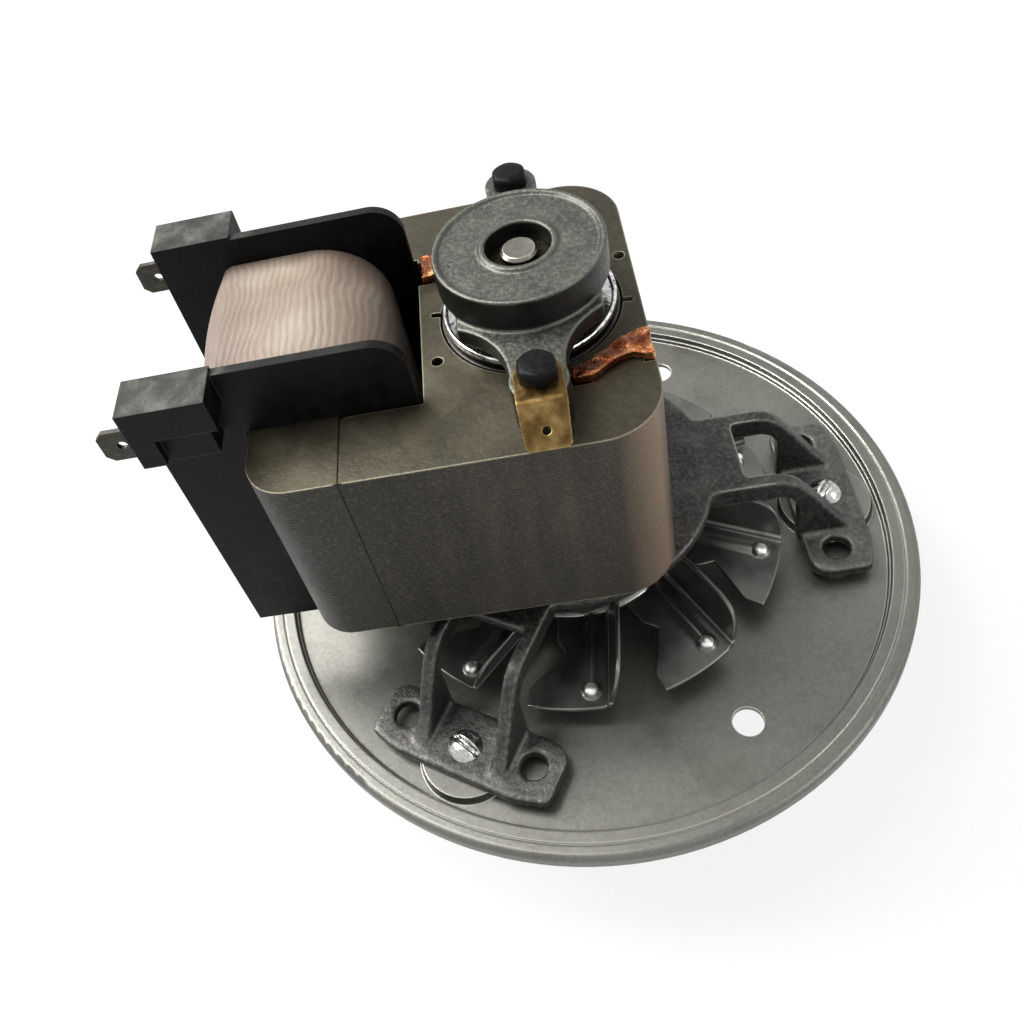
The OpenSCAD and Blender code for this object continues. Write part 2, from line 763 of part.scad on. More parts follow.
// Pressed sheet fan: middle disc, blades with an embossed rib, and a vane bent up along each blade.
fan_r = fan_d / 2;
fan_top = fan_z + fan_t;
blade_turn = -98;
fan_hub_r = 4.6;
fan_hub_flange_r = 6.5;
fan_hub_flange_h = 1.2;
fan_hub_h = 5.2;
rib_line_y = 4.6;
blade_rib_r = 1.2;
bend_y = 7.5;
blade_lap = 3;
blade_root_y = -2.4;
blade_neck_x = 26.2;
blade_shoulder = [28.9, -0.7];
blade_corner = [36.6, -7.1];
blade_edge_y = -7.9;
blade_tip_gap = 3.6;
vane_round_in = 3.6;
vane_round_out = 4.6;

module blade_outline() {
    intersection() {
        circle(fan_r, $fn = 120);
        polygon([
            [fan_disc_d / 2 - blade_lap, blade_root_y], [blade_neck_x, blade_root_y], blade_shoulder,
            blade_corner, [fan_r + blade_lap, blade_edge_y], [fan_r + blade_lap, bend_y],
            [fan_disc_d / 2 - blade_lap, bend_y]
        ]);
    }
}

module vane_outline() {
    x_in = fan_disc_d / 2 - blade_lap / 3;
    x_out = sqrt(fan_r * fan_r - bend_y * bend_y);
    polygon([
        [x_in, 0], [x_in + vane_round_in / 6, vane_h * 0.62], [x_in + vane_round_in / 2, vane_h * 0.88],
        [x_in + vane_round_in, vane_h], [x_out - vane_round_out, vane_h],
        [x_out - vane_round_out * 0.57, vane_h * 0.88], [x_out - vane_round_out / 4, vane_h * 0.62],
        [x_out, 0]
    ]);
}

module blade() {
    linear_extrude(fan_t) blade_outline();
    translate([0, bend_y, 0]) rotate([90 - vane_lean, 0, 0]) linear_extrude(fan_t) vane_outline();
    translate([fan_disc_d / 2, rib_line_y, fan_t]) rotate([0, 90, 0])
        cylinder(h = fan_r - fan_disc_d / 2 - blade_tip_gap, r = blade_rib_r, $fn = 24);
    translate([fan_r - blade_tip_gap, rib_line_y, fan_t]) sphere(r = blade_rib_r * 1.25, $fn = 24);
}

module cooling_fan() {
    color("#8e9190") translate([0, 0, fan_z]) difference() {
        union() {
            cylinder(h = fan_t, d = fan_disc_d);
            for (i = [0:blades - 1]) rotate(blade_turn + i * 360 / blades) blade();
        }
        translate([0, 0, -over]) cylinder(h = fan_t + 2 * over, r = shaft_r + side_fit);
        translate([0, 0, -2 * over]) cylinder(h = 2 * over, r = fan_r + over);
    }
}

module fan_hub() {
    color("#a89048") difference() {
        union() {
            translate([0, 0, fan_top]) cylinder(h = fan_hub_flange_h, r = fan_hub_flange_r);
            translate([0, 0, fan_top]) cylinder(h = fan_hub_h, r = fan_hub_r);
        }
        translate([0, 0, fan_top - over]) cylinder(h = fan_hub_h + 2 * over, r = shaft_r + slot_fit);
    }
}

// Push-on clip that holds the fan against its hub.
fan_clip_t = 0.9;

module fan_clip() {
    color("#9a9c9e") tube(fan_z - fan_clip_t, fan_clip_t, fan_hub_r + 0.4, shaft_r + slot_fit);
}

mounting_plate();
lower_bracket();
foot_screws();
lower_bearing();
lower_felt();
lower_retainer();
stator_core();
coil_bar();
bobbin();
coil_winding();
line_tab_front();
line_tab_rear();
shading_ring_front();
shading_ring_rear();
upper_bracket();
upper_bearing();
upper_felt();
upper_retainer();
earth_tab();
front_bolt();
rear_bolt();
shaft();
rotor_core();
rotor_cage();
lower_spacer();
upper_spacer();
lower_washer();
upper_washer();
fan_hub();
cooling_fan();
fan_clip();
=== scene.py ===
import bpy
import bmesh
import math
import numpy as np
from mathutils import Matrix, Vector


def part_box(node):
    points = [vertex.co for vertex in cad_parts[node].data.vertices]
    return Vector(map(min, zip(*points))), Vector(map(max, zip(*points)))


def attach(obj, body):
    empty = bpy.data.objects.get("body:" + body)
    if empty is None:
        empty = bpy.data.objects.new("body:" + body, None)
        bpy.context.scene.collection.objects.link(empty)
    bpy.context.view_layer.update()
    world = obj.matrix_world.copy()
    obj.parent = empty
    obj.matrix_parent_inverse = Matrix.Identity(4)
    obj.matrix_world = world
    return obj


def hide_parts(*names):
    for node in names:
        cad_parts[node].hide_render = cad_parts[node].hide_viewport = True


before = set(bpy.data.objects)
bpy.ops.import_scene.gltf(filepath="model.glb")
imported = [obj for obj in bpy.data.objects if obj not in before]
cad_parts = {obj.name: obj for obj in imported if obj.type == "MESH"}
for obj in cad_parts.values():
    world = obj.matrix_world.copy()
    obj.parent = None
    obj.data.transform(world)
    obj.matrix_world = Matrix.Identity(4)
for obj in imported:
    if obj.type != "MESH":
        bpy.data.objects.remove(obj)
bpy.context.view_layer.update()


# Mounting plate
# Pressed from galvanised sheet in one stroke: disc, raised rim, turned edge and three round seats.
# The zinc is dull and a little creamy, with a fine grain and faint stains from handling.

def new_finish(name, metallic, roughness, **sockets):
    """A material with one principled surface; constants are set on the shader's own sockets."""
    mat = bpy.data.materials.new(name)
    mat.use_nodes = True
    bsdf = mat.node_tree.nodes["Principled BSDF"]
    bsdf.inputs["Metallic"].default_value = metallic
    bsdf.inputs["Roughness"].default_value = roughness
    for socket, value in sockets.items():
        bsdf.inputs[socket.replace("_", " ")].default_value = value
    return mat


def add_node(mat, kind, props=None, **inputs):
    """One shader node; an input is a plain value, or an output socket that it is wired to."""
    node = mat.node_tree.nodes.new(kind)
    for key, value in (props or {}).items():
        setattr(node, key, value)
    for key, value in inputs.items():
        numbered = key[0] == "i" and key[1:].isdigit()
        socket = node.inputs[int(key[1:])] if numbered else node.inputs[key.replace("_", " ")]
        if isinstance(value, bpy.types.NodeSocket):
            mat.node_tree.links.new(value, socket)
        else:
            socket.default_value = value
    return node


def stretched_place(mat, stretch=(1, 1, 1), turn=(0, 0, 0)):
    """Object coordinates in millimetres, stretched so that a pattern runs along one way."""
    place = add_node(mat, "ShaderNodeTexCoord").outputs["Object"]
    scale = tuple(1000 * s for s in stretch)
    return add_node(mat, "ShaderNodeMapping", Vector=place, Scale=scale, Rotation=turn).outputs["Vector"]


def grain(mat, place, size, detail=4.0, rough=0.55, warp=0.0):
    """Noise between 0 and 1 whose largest spots are about size millimetres wide."""
    return add_node(mat, "ShaderNodeTexNoise", Vector=place, Scale=1.0 / size, Detail=detail,
                    Roughness=rough, Distortion=warp).outputs["Fac"]


def steps(mat, factor, stops):
    """A ramp from factor to colour; stops are (position, (red, green, blue))."""
    node = add_node(mat, "ShaderNodeValToRGB", Fac=factor)
    ramp = node.color_ramp
    while len(ramp.elements) < len(stops):
        ramp.elements.new(0.5)
    for element, (position, colour) in zip(ramp.elements, stops):
        element.position = position
        element.color = (*colour, 1.0)
    return node.outputs["Color"]


def blend_colours(mat, factor, first, second, mode="MIX"):
    """First colour at factor 0 and second at factor 1, in the given way of mixing."""
    node = add_node(mat, "ShaderNodeMix", {"data_type": "RGBA", "blend_type": mode}, i0=factor)
    for index, value in ((6, first), (7, second)):
        if isinstance(value, bpy.types.NodeSocket):
            mat.node_tree.links.new(value, node.inputs[index])
        else:
            node.inputs[index].default_value = (*value, 1.0)
    return node.outputs[2]


def spread(mat, value, low, high, floor=0.3, ceiling=0.7):
    """Maps floor..ceiling of a value to low..high, and holds it there outside."""
    return add_node(mat, "ShaderNodeMapRange", Value=value, From_Min=floor, From_Max=ceiling,
                    To_Min=low, To_Max=high).outputs["Result"]


def rounded_normal(mat, radius):
    """The surface's direction with its edges rounded by the radius (mm)."""
    return add_node(mat, "ShaderNodeBevel", {"samples": 6}, Radius=radius / 1000).outputs["Normal"]


def edge_mask(mat, radius, gain=6.0):
    """
    Near 1 where the surface turns sharply within the radius (mm), and 0 on a flat or smooth face: gain
    times 1 less the dot product of the true and the rounded direction.
    """
    soft = rounded_normal(mat, radius)
    true = add_node(mat, "ShaderNodeNewGeometry").outputs["Normal"]
    likeness = add_node(mat, "ShaderNodeVectorMath", {"operation": "DOT_PRODUCT"}, i0=soft, i1=true)
    return add_node(mat, "ShaderNodeMapRange", Value=likeness.outputs["Value"], From_Min=1.0,
                    From_Max=1.0 - 1.0 / gain, To_Min=0.0, To_Max=1.0).outputs["Result"]


def relief(mat, heights, radius=0.0):
    """Bump from (height, depth in mm) pairs, one over the other, on edges rounded by the radius (mm)."""
    normal = rounded_normal(mat, radius) if radius else None
    for height, depth in heights:
        more = {"Normal": normal} if normal is not None else {}
        bump = add_node(mat, "ShaderNodeBump", Height=height, Distance=depth / 1000, Strength=1.0, **more)
        normal = bump.outputs["Normal"]
    mat.node_tree.links.new(normal, mat.node_tree.nodes["Principled BSDF"].inputs["Normal"])


def finish_with(mat, colour, rough):
    """Wires a colour and a roughness to the principled surface."""
    bsdf = mat.node_tree.nodes["Principled BSDF"]
    mat.node_tree.links.new(colour, bsdf.inputs["Base Color"])
    mat.node_tree.links.new(rough, bsdf.inputs["Roughness"])


def coat_node(name, mat):
    """Gives a carried-over piece its finish."""
    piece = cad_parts[name]
    piece.data.materials.clear()
    piece.data.materials.append(mat)


zinc = new_finish("dull_zinc", 0.85, 0.4)
place = stretched_place(zinc)
clouds = grain(zinc, place, 40.0, 4.0, 0.55, 0.3)
fine = grain(zinc, place, 0.7, 4.0, 0.7)
stains = grain(zinc, place, 14.0, 6.0, 0.62)
zinc_stops = [(0.3, (0.118, 0.116, 0.102)), (0.55, (0.145, 0.143, 0.127)), (0.75, (0.18, 0.177, 0.157))]
zinc_colour = steps(zinc, clouds, zinc_stops)
light_grain = spread(zinc, fine, 0.0, 0.5, 0.35, 0.7)
zinc_colour = blend_colours(zinc, light_grain, zinc_colour, (0.22, 0.216, 0.192))
handled = spread(zinc, stains, 0.45, 0.0, 0.28, 0.46)
zinc_colour = blend_colours(zinc, handled, zinc_colour, (0.07, 0.064, 0.052))
# Edges painted lighter, partly as wear and partly as painted highlight.
zinc_colour = blend_colours(zinc, edge_mask(zinc, 0.4), zinc_colour, (0.6, 0.59, 0.53))
finish_with(zinc, zinc_colour, spread(zinc, stains, 0.36, 0.46))
relief(zinc, [(fine, 0.018), (clouds, 0.25)], 0.4)
coat_node("mounting_plate", zinc)


# Lower bracket
# Die-cast alloy tripod: web, three arms of two ribs, three feet. The casting's edges are rounded by
# the die and its skin is dark and sandy, lighter at the feet than on the web. Its sides carry painted
# shade and its upward faces painted light, and its edges, the backs of the ribs among them, are painted
# lighter, partly as wear and partly as painted highlight.

def one_axis(mat, vector, axis):
    """One part, X, Y or Z, of a place or of a direction."""
    return add_node(mat, "ShaderNodeSeparateXYZ", i0=vector).outputs[axis]


def facing_up(mat, floor, ceiling):
    """1 on faces that look up, 0 on sides and undersides, from the surface's own direction."""
    direction = add_node(mat, "ShaderNodeNewGeometry").outputs["Normal"]
    return spread(mat, one_axis(mat, direction, "Z"), 0.0, 1.0, floor, ceiling)


def place_piece(name, mesh, mat, body, slot, *nodes, crease=40.0):
    """Puts a finished mesh in the scene with its material and body, and hides the nodes it stands for; slot
    is not used.
    """
    mesh.materials.clear()
    mesh.materials.append(mat)
    mesh.shade_smooth()
    mesh.set_sharp_from_angle(angle=math.radians(crease))
    piece = bpy.data.objects.new(name, mesh)
    bpy.context.scene.collection.objects.link(piece)
    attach(piece, body)
    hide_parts(*nodes)
    return piece


def cast_from(node, voxel, passes):
    """A carried-over solid as the die leaves it: resampled on cubes of voxel mm, then relaxed in passes."""
    source = bpy.data.objects.new(node + "_source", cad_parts[node].data.copy())
    bpy.context.scene.collection.objects.link(source)
    weld = source.modifiers.new("weld", "WELD")
    weld.merge_threshold = 2e-6
    resample = source.modifiers.new("resample", "REMESH")
    resample.mode = "VOXEL"
    resample.voxel_size = voxel / 1000
    relax = source.modifiers.new("relax", "SMOOTH")
    relax.factor = 0.5
    relax.iterations = passes
    graph = bpy.context.evaluated_depsgraph_get()
    mesh = bpy.data.meshes.new_from_object(source.evaluated_get(graph))
    bpy.data.objects.remove(source)
    return mesh


cast_dark = new_finish("dark_casting", 0.7, 0.46)
place = stretched_place(cast_dark)
sand = grain(cast_dark, place, 0.8, 4.0, 0.7)
patches = grain(cast_dark, place, 7.0, 5.0, 0.6)
# Painted shade: the sides get a darker colour than the upward faces.
shaded_sides = steps(cast_dark, patches, [(0.3, (0.022, 0.021, 0.019)), (0.7, (0.055, 0.053, 0.048))])
web_stops = [(0.3, (0.019, 0.019, 0.017)), (0.55, (0.036, 0.035, 0.032)), (0.75, (0.08, 0.078, 0.07))]
foot_stops = [(0.3, (0.04, 0.038, 0.034)), (0.55, (0.075, 0.072, 0.065)), (0.75, (0.165, 0.16, 0.142))]
above_feet = spread(cast_dark, one_axis(cast_dark, place, "Z"), 0.0, 1.0, 5.0, 12.0)
lit_tops = blend_colours(cast_dark, above_feet, steps(cast_dark, patches, foot_stops),
                         steps(cast_dark, patches, web_stops))
# Painted light: upward faces get the lighter colours, lighter still at the feet than on the web.
cast_colour = blend_colours(cast_dark, facing_up(cast_dark, 0.1, 0.8), shaded_sides, lit_tops)
light_grain = spread(cast_dark, sand, 0.0, 0.5, 0.45, 0.75)
cast_colour = blend_colours(cast_dark, light_grain, cast_colour, (0.2, 0.195, 0.18))
# Edges painted lighter, partly as wear and partly as painted highlight.
cast_colour = blend_colours(cast_dark, edge_mask(cast_dark, 0.9, 5.0), cast_colour, (0.42, 0.4, 0.35))
finish_with(cast_dark, cast_colour, spread(cast_dark, sand, 0.3, 0.52))
relief(cast_dark, [(sand, 0.14), (patches, 0.3)])
tripod_voxel = 0.5
tripod_passes = 3
place_piece("tripod_casting", cast_from("lower_bracket", tripod_voxel, tripod_passes), cast_dark, "housing",
            "cast_alloy_dark", "lower_bracket", crease=60.0)


# Foot screws
# Three zinc-plated screws that hold the feet to the plate. The heads get their dome and the slot. The
# shanks stay plain rods, as in the solids.

def closed_surface(name, grids):
    """
    One mesh from grids of points (rows, columns, 3) in mm. Each grid says whether its last row joins its
    first and whether its last column does; points that coincide, at seams and poles, are merged.
    """
    corners, faces, start = [], [], 0
    for points, wrap_rows, wrap_columns in grids:
        rows, columns = points.shape[:2]
        number = start + np.arange(rows * columns).reshape(rows, columns)
        if wrap_rows:
            number = np.concatenate([number, number[:1]], 0)
        if wrap_columns:
            number = np.concatenate([number, number[:, :1]], 1)
        quads = np.stack([number[:-1, :-1], number[1:, :-1], number[1:, 1:], number[:-1, 1:]], -1)
        corners.append(points.reshape(-1, 3) / 1000)
        faces.append(quads.reshape(-1, 4))
        start += rows * columns
    mesh = bpy.data.meshes.new(name)
    mesh.from_pydata(np.concatenate(corners).tolist(), [], np.concatenate(faces).tolist())
    tidy = bmesh.new()
    tidy.from_mesh(mesh)
    bmesh.ops.remove_doubles(tidy, verts=tidy.verts, dist=1e-6)
    bmesh.ops.recalc_face_normals(tidy, faces=tidy.faces)
    tidy.to_mesh(mesh)
    tidy.free()
    return mesh


def revolve(profile, turns=96):
    """A profile of (radius, height) points carried round the Z axis: x = r cos a, y = r sin a, z = h."""
    profile = np.asarray(profile, float)
    angle = np.linspace(0, 2 * np.pi, turns, endpoint=False)
    radius = profile[:, :1]
    return np.stack([radius * np.cos(angle), radius * np.sin(angle), profile[:, 1:] + 0 * angle], -1)


def spun_about_z(points, turn):
    """The points turned about the Z axis: x' = x cos a - y sin a and y' = x sin a + y cos a."""
    c = math.cos(turn)
    s = math.sin(turn)
    return points @ np.array([[c, s, 0], [-s, c, 0], [0, 0, 1]])


def slotted_head(radius, height, slot_w, slot_depth, shank_r, shank_l):
    """
    A dome, height (1 - q^2.6) at q of the radius, less a slot slot_depth / (1 + (2 y / slot_w)^8), over a
    round shank.
    """
    share = np.linspace(0, 1, 30)
    angle = np.linspace(0, 2 * np.pi, 96, endpoint=False)
    x = radius * share[:, None] * np.cos(angle)
    y = radius * share[:, None] * np.sin(angle)
    z = height * (1 - share[:, None] ** 2.6) + 0 * angle
    z = z - np.minimum(slot_depth, 0.9 * z) / (1 + (2 * np.abs(y) / slot_w) ** 8)
    dome = np.stack([x, y, z], -1)
    under = revolve([(radius, 0), (shank_r, 0), (shank_r, -shank_l), (0, -shank_l)])
    return [(dome, False, True), (under, False, True)]


bright_zinc = new_finish("bright_zinc", 1.0, 0.25)
flecks = grain(bright_zinc, stretched_place(bright_zinc), 0.7, 4.0)
bright_stops = [(0.32, (0.34, 0.34, 0.325)), (0.5, (0.5, 0.5, 0.48)), (0.65, (0.7, 0.7, 0.67))]
bright_colour = steps(bright_zinc, flecks, bright_stops)
finish_with(bright_zinc, bright_colour, spread(bright_zinc, flecks, 0.14, 0.36))
relief(bright_zinc, [(flecks, 0.012)], 0.2)
screw_low, screw_high = (np.array(corner) * 1000 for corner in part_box("foot_screws"))
head_r = 3.2
head_h = 2.0
slot_w = 1.0
slot_depth = 1.1
shank_r = 1.75
seat_circle_r = 50.0
seat_z = screw_high[2] - head_h
heads = []
for turn, slot_turn in ((0, 0.9), (120, 0.4), (240, -0.75)):
    where = math.radians(turn)
    seat = (seat_circle_r * math.cos(where), seat_circle_r * math.sin(where), seat_z)
    screw = slotted_head(head_r, head_h, slot_w, slot_depth, shank_r, seat_z - screw_low[2])
    for points, wrap_rows, wrap_columns in screw:
        heads.append((spun_about_z(points, slot_turn) + seat, wrap_rows, wrap_columns))
place_piece("slotted_screws", closed_surface("slotted_screws", heads), bright_zinc, "housing", "screw_zinc",
            "foot_screws")


# Bearings
# A sintered bronze bush in each bracket, an oiled felt ring round it and a steel ring that holds them.
# The bronze is dark with oil, and the felt is matt.

bronze = new_finish("oiled_bronze", 0.9, 0.35)
pores = grain(bronze, stretched_place(bronze), 0.5, 3.0)
finish_with(bronze, steps(bronze, pores, [(0.35, (0.008, 0.006, 0.004)), (0.6, (0.035, 0.026, 0.015))]),
            spread(bronze, pores, 0.25, 0.5))
relief(bronze, [(pores, 0.04)], 0.3)
felt = new_finish("oiled_felt", 0.0, 0.9)
hairs = grain(felt, stretched_place(felt), 0.7, 6.0, 0.7, 1.0)
finish_with(felt, steps(felt, hairs, [(0.3, (0.16, 0.13, 0.08)), (0.7, (0.4, 0.35, 0.25))]),
            spread(felt, hairs, 0.8, 1.0))
relief(felt, [(hairs, 0.3)])
for name in ("lower_bearing", "upper_bearing"):
    coat_node(name, bronze)
for name in ("lower_felt", "upper_felt"):
    coat_node(name, felt)
for name in ("lower_retainer", "upper_retainer"):
    coat_node(name, bright_zinc)


# Stator core and coil bar
# Stacks of half-millimetre electrical sheet under brownish varnish. The punched faces are greenish
# grey, with a painted shadow of the cap darkening the top towards the far end. The sides show the sheets'
# cut edges as fine lines, with a tan painted highlight at the rounded corners, and darken towards the
# coil. The edges are painted lighter, partly as wear and partly as painted highlight, and the joint
# between the two stacks is a thin dark line.

def worked_out(mat, how, first, second=0.0):
    """The sum, product, difference or the like of two values."""
    return add_node(mat, "ShaderNodeMath", {"operation": how}, i0=first, i1=second).outputs[0]


def ripples(mat, place, way, scale, warp, warp_scale):
    """Even waves between 0 and 1 along X or Z, slightly warped by noise."""
    return add_node(mat, "ShaderNodeTexWave", {"bands_direction": way, "wave_profile": "SIN"}, Vector=place,
                    Scale=scale, Distortion=warp, Detail=2.0, Detail_Scale=warp_scale).outputs["Fac"]


laminations = new_finish("varnished_laminations", 0.55, 0.42, Specular_IOR_Level=0.35)
place = stretched_place(laminations)
flat = facing_up(laminations, 0.5, 0.8)
sheet_lines = ripples(laminations, place, "Z", 0.62, 0.5, 0.6)
runs = grain(laminations, stretched_place(laminations, (1.0, 1.0, 0.16)), 5.0, 5.0, 0.6)
mottle = grain(laminations, place, 12.0, 6.0, 0.6, 0.5)
speck = grain(laminations, place, 0.8, 3.0, 0.6)
side_stops = [(0.35, (0.04, 0.036, 0.029)), (0.58, (0.062, 0.055, 0.043)), (0.75, (0.1, 0.084, 0.06))]
plain_side = steps(laminations, runs, side_stops)
lengthways = one_axis(laminations, place, "X")
core_end = 1000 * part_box("stator_core")[1][0]
# Painted highlight: a tan sheen on the rounded corners, taken off the flat end face below.
painted_corner_sheen = spread(laminations, lengthways, 0.0, 0.85, 9.0, 16.5)
side_colour = blend_colours(laminations, painted_corner_sheen, plain_side, (0.42, 0.3, 0.2))
end_face = spread(laminations, lengthways, 0.0, 0.85, core_end - 1.8, core_end - 0.2)
side_colour = blend_colours(laminations, end_face, side_colour, plain_side)
coil_side = spread(laminations, lengthways, 0.65, 0.0, -24.0, -12.0)
side_colour = blend_colours(laminations, coil_side, side_colour, (0.016, 0.0145, 0.011))
between_sheets = spread(laminations, sheet_lines, 0.38, 0.0, 0.1, 0.9)
side_colour = blend_colours(laminations, between_sheets, side_colour, (0.022, 0.02, 0.016))
light_specks = spread(laminations, speck, 0.0, 0.35, 0.5, 0.75)
side_colour = blend_colours(laminations, light_specks, side_colour, (0.15, 0.125, 0.095))
top_stops = [(0.3, (0.024, 0.021, 0.0125)), (0.52, (0.045, 0.0385, 0.0225)), (0.72, (0.08, 0.069, 0.044))]
top_colour = steps(laminations, mottle, top_stops)
# Painted shadow of the cap on the top, darker towards the far end.
cap_shadow_on_top = spread(laminations, lengthways, 0.0, 0.5, 2.0, 20.0)
top_colour = blend_colours(laminations, cap_shadow_on_top, top_colour, (0.016, 0.015, 0.01))
dust = spread(laminations, speck, 0.0, 0.3)
top_colour = blend_colours(laminations, dust, top_colour, (0.1, 0.089, 0.064))
lamination_colour = blend_colours(laminations, flat, side_colour, top_colour)
joint_x = 1000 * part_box("coil_bar")[1][0]
from_joint = worked_out(laminations, "ABSOLUTE", worked_out(laminations, "SUBTRACT", lengthways, joint_x))
off_joint = spread(laminations, from_joint, 0.0, 1.0, 0.5, 0.9)
# Edges painted lighter, partly as wear and partly as painted highlight; dark at the joint.
edge_colour = blend_colours(laminations, off_joint, (0.004, 0.0035, 0.003), (0.3, 0.28, 0.2))
edges = edge_mask(laminations, 0.4, 12.0)
lamination_colour = blend_colours(laminations, edges, lamination_colour, edge_colour)
finish_with(laminations, lamination_colour, spread(laminations, mottle, 0.34, 0.5))
relief(laminations, [(sheet_lines, 0.05), (speck, 0.05)], 0.25)
for name in ("stator_core", "coil_bar"):
    coat_node(name, laminations)


# Bobbin
# Moulded in one piece from black glass-filled plastic: tube, two flanges and the two terminal blocks.
# Satin black, with a mottled grey painted sheen on the tops of the terminal blocks and painted highlights
# on the edges.

black_moulding = new_finish("black_moulding", 0.0, 0.5, Specular_IOR_Level=0.12)
place = stretched_place(black_moulding)
blotches = grain(black_moulding, place, 5.0, 6.0, 0.65, 0.6)
skin = grain(black_moulding, place, 0.6, 3.0)
wall_colour = steps(black_moulding, blotches, [(0.4, (0.0015, 0.0015, 0.0015)), (0.7, (0.006, 0.006, 0.006))])
# Painted sheen: the upward faces of the terminal blocks get a mottled grey, as light catches them.
top_sheen_stops = [(0.32, (0.018, 0.0175, 0.0155)), (0.5, (0.048, 0.0465, 0.042)), (0.66, (0.12, 0.116, 0.105))]
painted_top_sheen = steps(black_moulding, blotches, top_sheen_stops)
block_reach = 16.0
block_end = 1000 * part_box("bobbin")[0][0] + block_reach
lengthways = one_axis(black_moulding, place, "X")
on_blocks = spread(black_moulding, lengthways, 1.0, 0.12, block_end - 3.0, block_end + 3.0)
on_top = worked_out(black_moulding, "MULTIPLY", facing_up(black_moulding, 0.6, 0.9), on_blocks)
mould_colour = blend_colours(black_moulding, on_top, wall_colour, painted_top_sheen)
# Edges painted lighter as painted highlight.
edges = edge_mask(black_moulding, 0.3, 3.0)
mould_colour = blend_colours(black_moulding, edges, mould_colour, (0.05, 0.049, 0.045))
finish_with(black_moulding, mould_colour, spread(black_moulding, blotches, 0.42, 0.62))
relief(black_moulding, [(skin, 0.05), (blotches, 0.1)], 0.35)
coat_node("bobbin", black_moulding)


# Winding
# Enamelled copper wire under two turns of pinkish crepe tape. The wire shows through as soft ridges that
# run from flange to flange. The tape is darker at its outer end, and darker and browner by the core with
# painted shade.

def rounded_loop(low, high, radius_low, radius_high, count):
    """
    A rectangle in X and Z with one corner radius at low x and another at high x: four quarter circles,
    joined by straight lines, and read off at even steps of the whole length.
    """
    quarter = np.linspace(0, np.pi / 2, 30)
    arcs = []
    for x, z, radius, first in ((high[0], high[1], radius_high, 0), (low[0], high[1], radius_low, 1),
                                (low[0], low[1], radius_low, 2), (high[0], low[1], radius_high, 3)):
        centre_x = x + radius * (-1 if x == high[0] else 1)
        centre_z = z + radius * (-1 if z == high[1] else 1)
        angle = quarter + first * np.pi / 2
        arcs.append(np.stack([centre_x + radius * np.cos(angle), centre_z + radius * np.sin(angle)], 1))
    line = np.concatenate(arcs + [arcs[0][:1]])
    walked = np.concatenate([[0], np.cumsum(np.hypot(*np.diff(line, axis=0).T))])
    even = np.linspace(0, walked[-1], count, endpoint=False)
    return np.stack([np.interp(even, walked, line[:, 0]), np.interp(even, walked, line[:, 1])], 1)


def taped_winding(low, high, hollow_low, hollow_high):
    """
    The outer loop, which starts a little inside low x, less crown (y / half)^2 + 0.3 along its normal, with
    a few soft lumps; its ends turn in to the loop of the bobbin's tube, which closes it from inside.
    """
    half = high[1]
    count = 420
    slack = 2.6
    outer_end_r = 4.6
    core_end_r = 14.0
    tube_corner_r = 0.2
    crown = 1.7
    pressed_in = 0.3
    low = low + (slack, 0, 0)
    outer = rounded_loop(low[[0, 2]], high[[0, 2]], outer_end_r, core_end_r, count)
    inner = rounded_loop(hollow_low, hollow_high, tube_corner_r, tube_corner_r, count)
    ahead = np.roll(outer, -1, 0) - np.roll(outer, 1, 0)
    outward = np.stack([ahead[:, 1], -ahead[:, 0]], 1) / np.hypot(*ahead.T)[:, None]
    across = np.linspace(-1, 1, 49)[:, None]
    walk = np.arange(count) / count
    lumps = 0.16 * np.sin(2 * np.pi * 5 * walk + 1.3 + 1.1 * across)
    lumps = lumps + 0.1 * np.sin(2 * np.pi * 13 * walk + 2.4 * across)
    sink = crown * across ** 2 + (pressed_in + lumps) * (1 - across ** 8)
    skin_x = outer[:, 0] - outward[:, 0] * sink
    skin_z = outer[:, 1] - outward[:, 1] * sink
    skin = np.stack([skin_x, across * half + 0 * walk, skin_z], -1)
    wall_y = across[::-1] * half + 0 * walk
    wall = np.stack([inner[:, 0] + 0 * across, wall_y, inner[:, 1] + 0 * across], -1)
    return np.concatenate([skin, wall])


tape = new_finish("crepe_tape", 0.0, 0.55, Sheen_Weight=0.15)
place = stretched_place(tape)
bowed = grain(tape, stretched_place(tape, (1.0, 1.0, 0.5)), 22.0, 2.0, 0.5)
bow = add_node(tape, "ShaderNodeVectorMath", {"operation": "SCALE"}, i0=(9.0, 0.0, 9.0), Scale=bowed)
bent_place = add_node(tape, "ShaderNodeVectorMath", {"operation": "ADD"}, i0=place, i1=bow.outputs["Vector"])
turns_of_wire = ripples(tape, bent_place.outputs["Vector"], "X", 0.27, 0.9, 0.4)
crepe = grain(tape, stretched_place(tape, (1.0, 0.2, 1.0)), 0.7, 6.0, 0.7, 0.4)
soak = grain(tape, place, 16.0, 5.0, 0.55, 0.4)
weave = grain(tape, place, 0.35, 2.0, 0.6)
coil_low, coil_high = (np.array(corner) * 1000 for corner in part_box("coil_winding"))
tape_stops = [(0.34, (0.18, 0.123, 0.09)), (0.5, (0.25, 0.192, 0.144)), (0.66, (0.34, 0.288, 0.226))]
tape_colour = steps(tape, soak, tape_stops)
between_wires = spread(tape, turns_of_wire, 0.28, 0.0, 0.1, 0.75)
tape_colour = blend_colours(tape, between_wires, tape_colour, (0.15, 0.102, 0.074))
creases = spread(tape, crepe, 0.3, 0.0, 0.35, 0.55)
tape_colour = blend_colours(tape, creases, tape_colour, (0.28, 0.2, 0.15))
towards_core = one_axis(tape, place, "X")
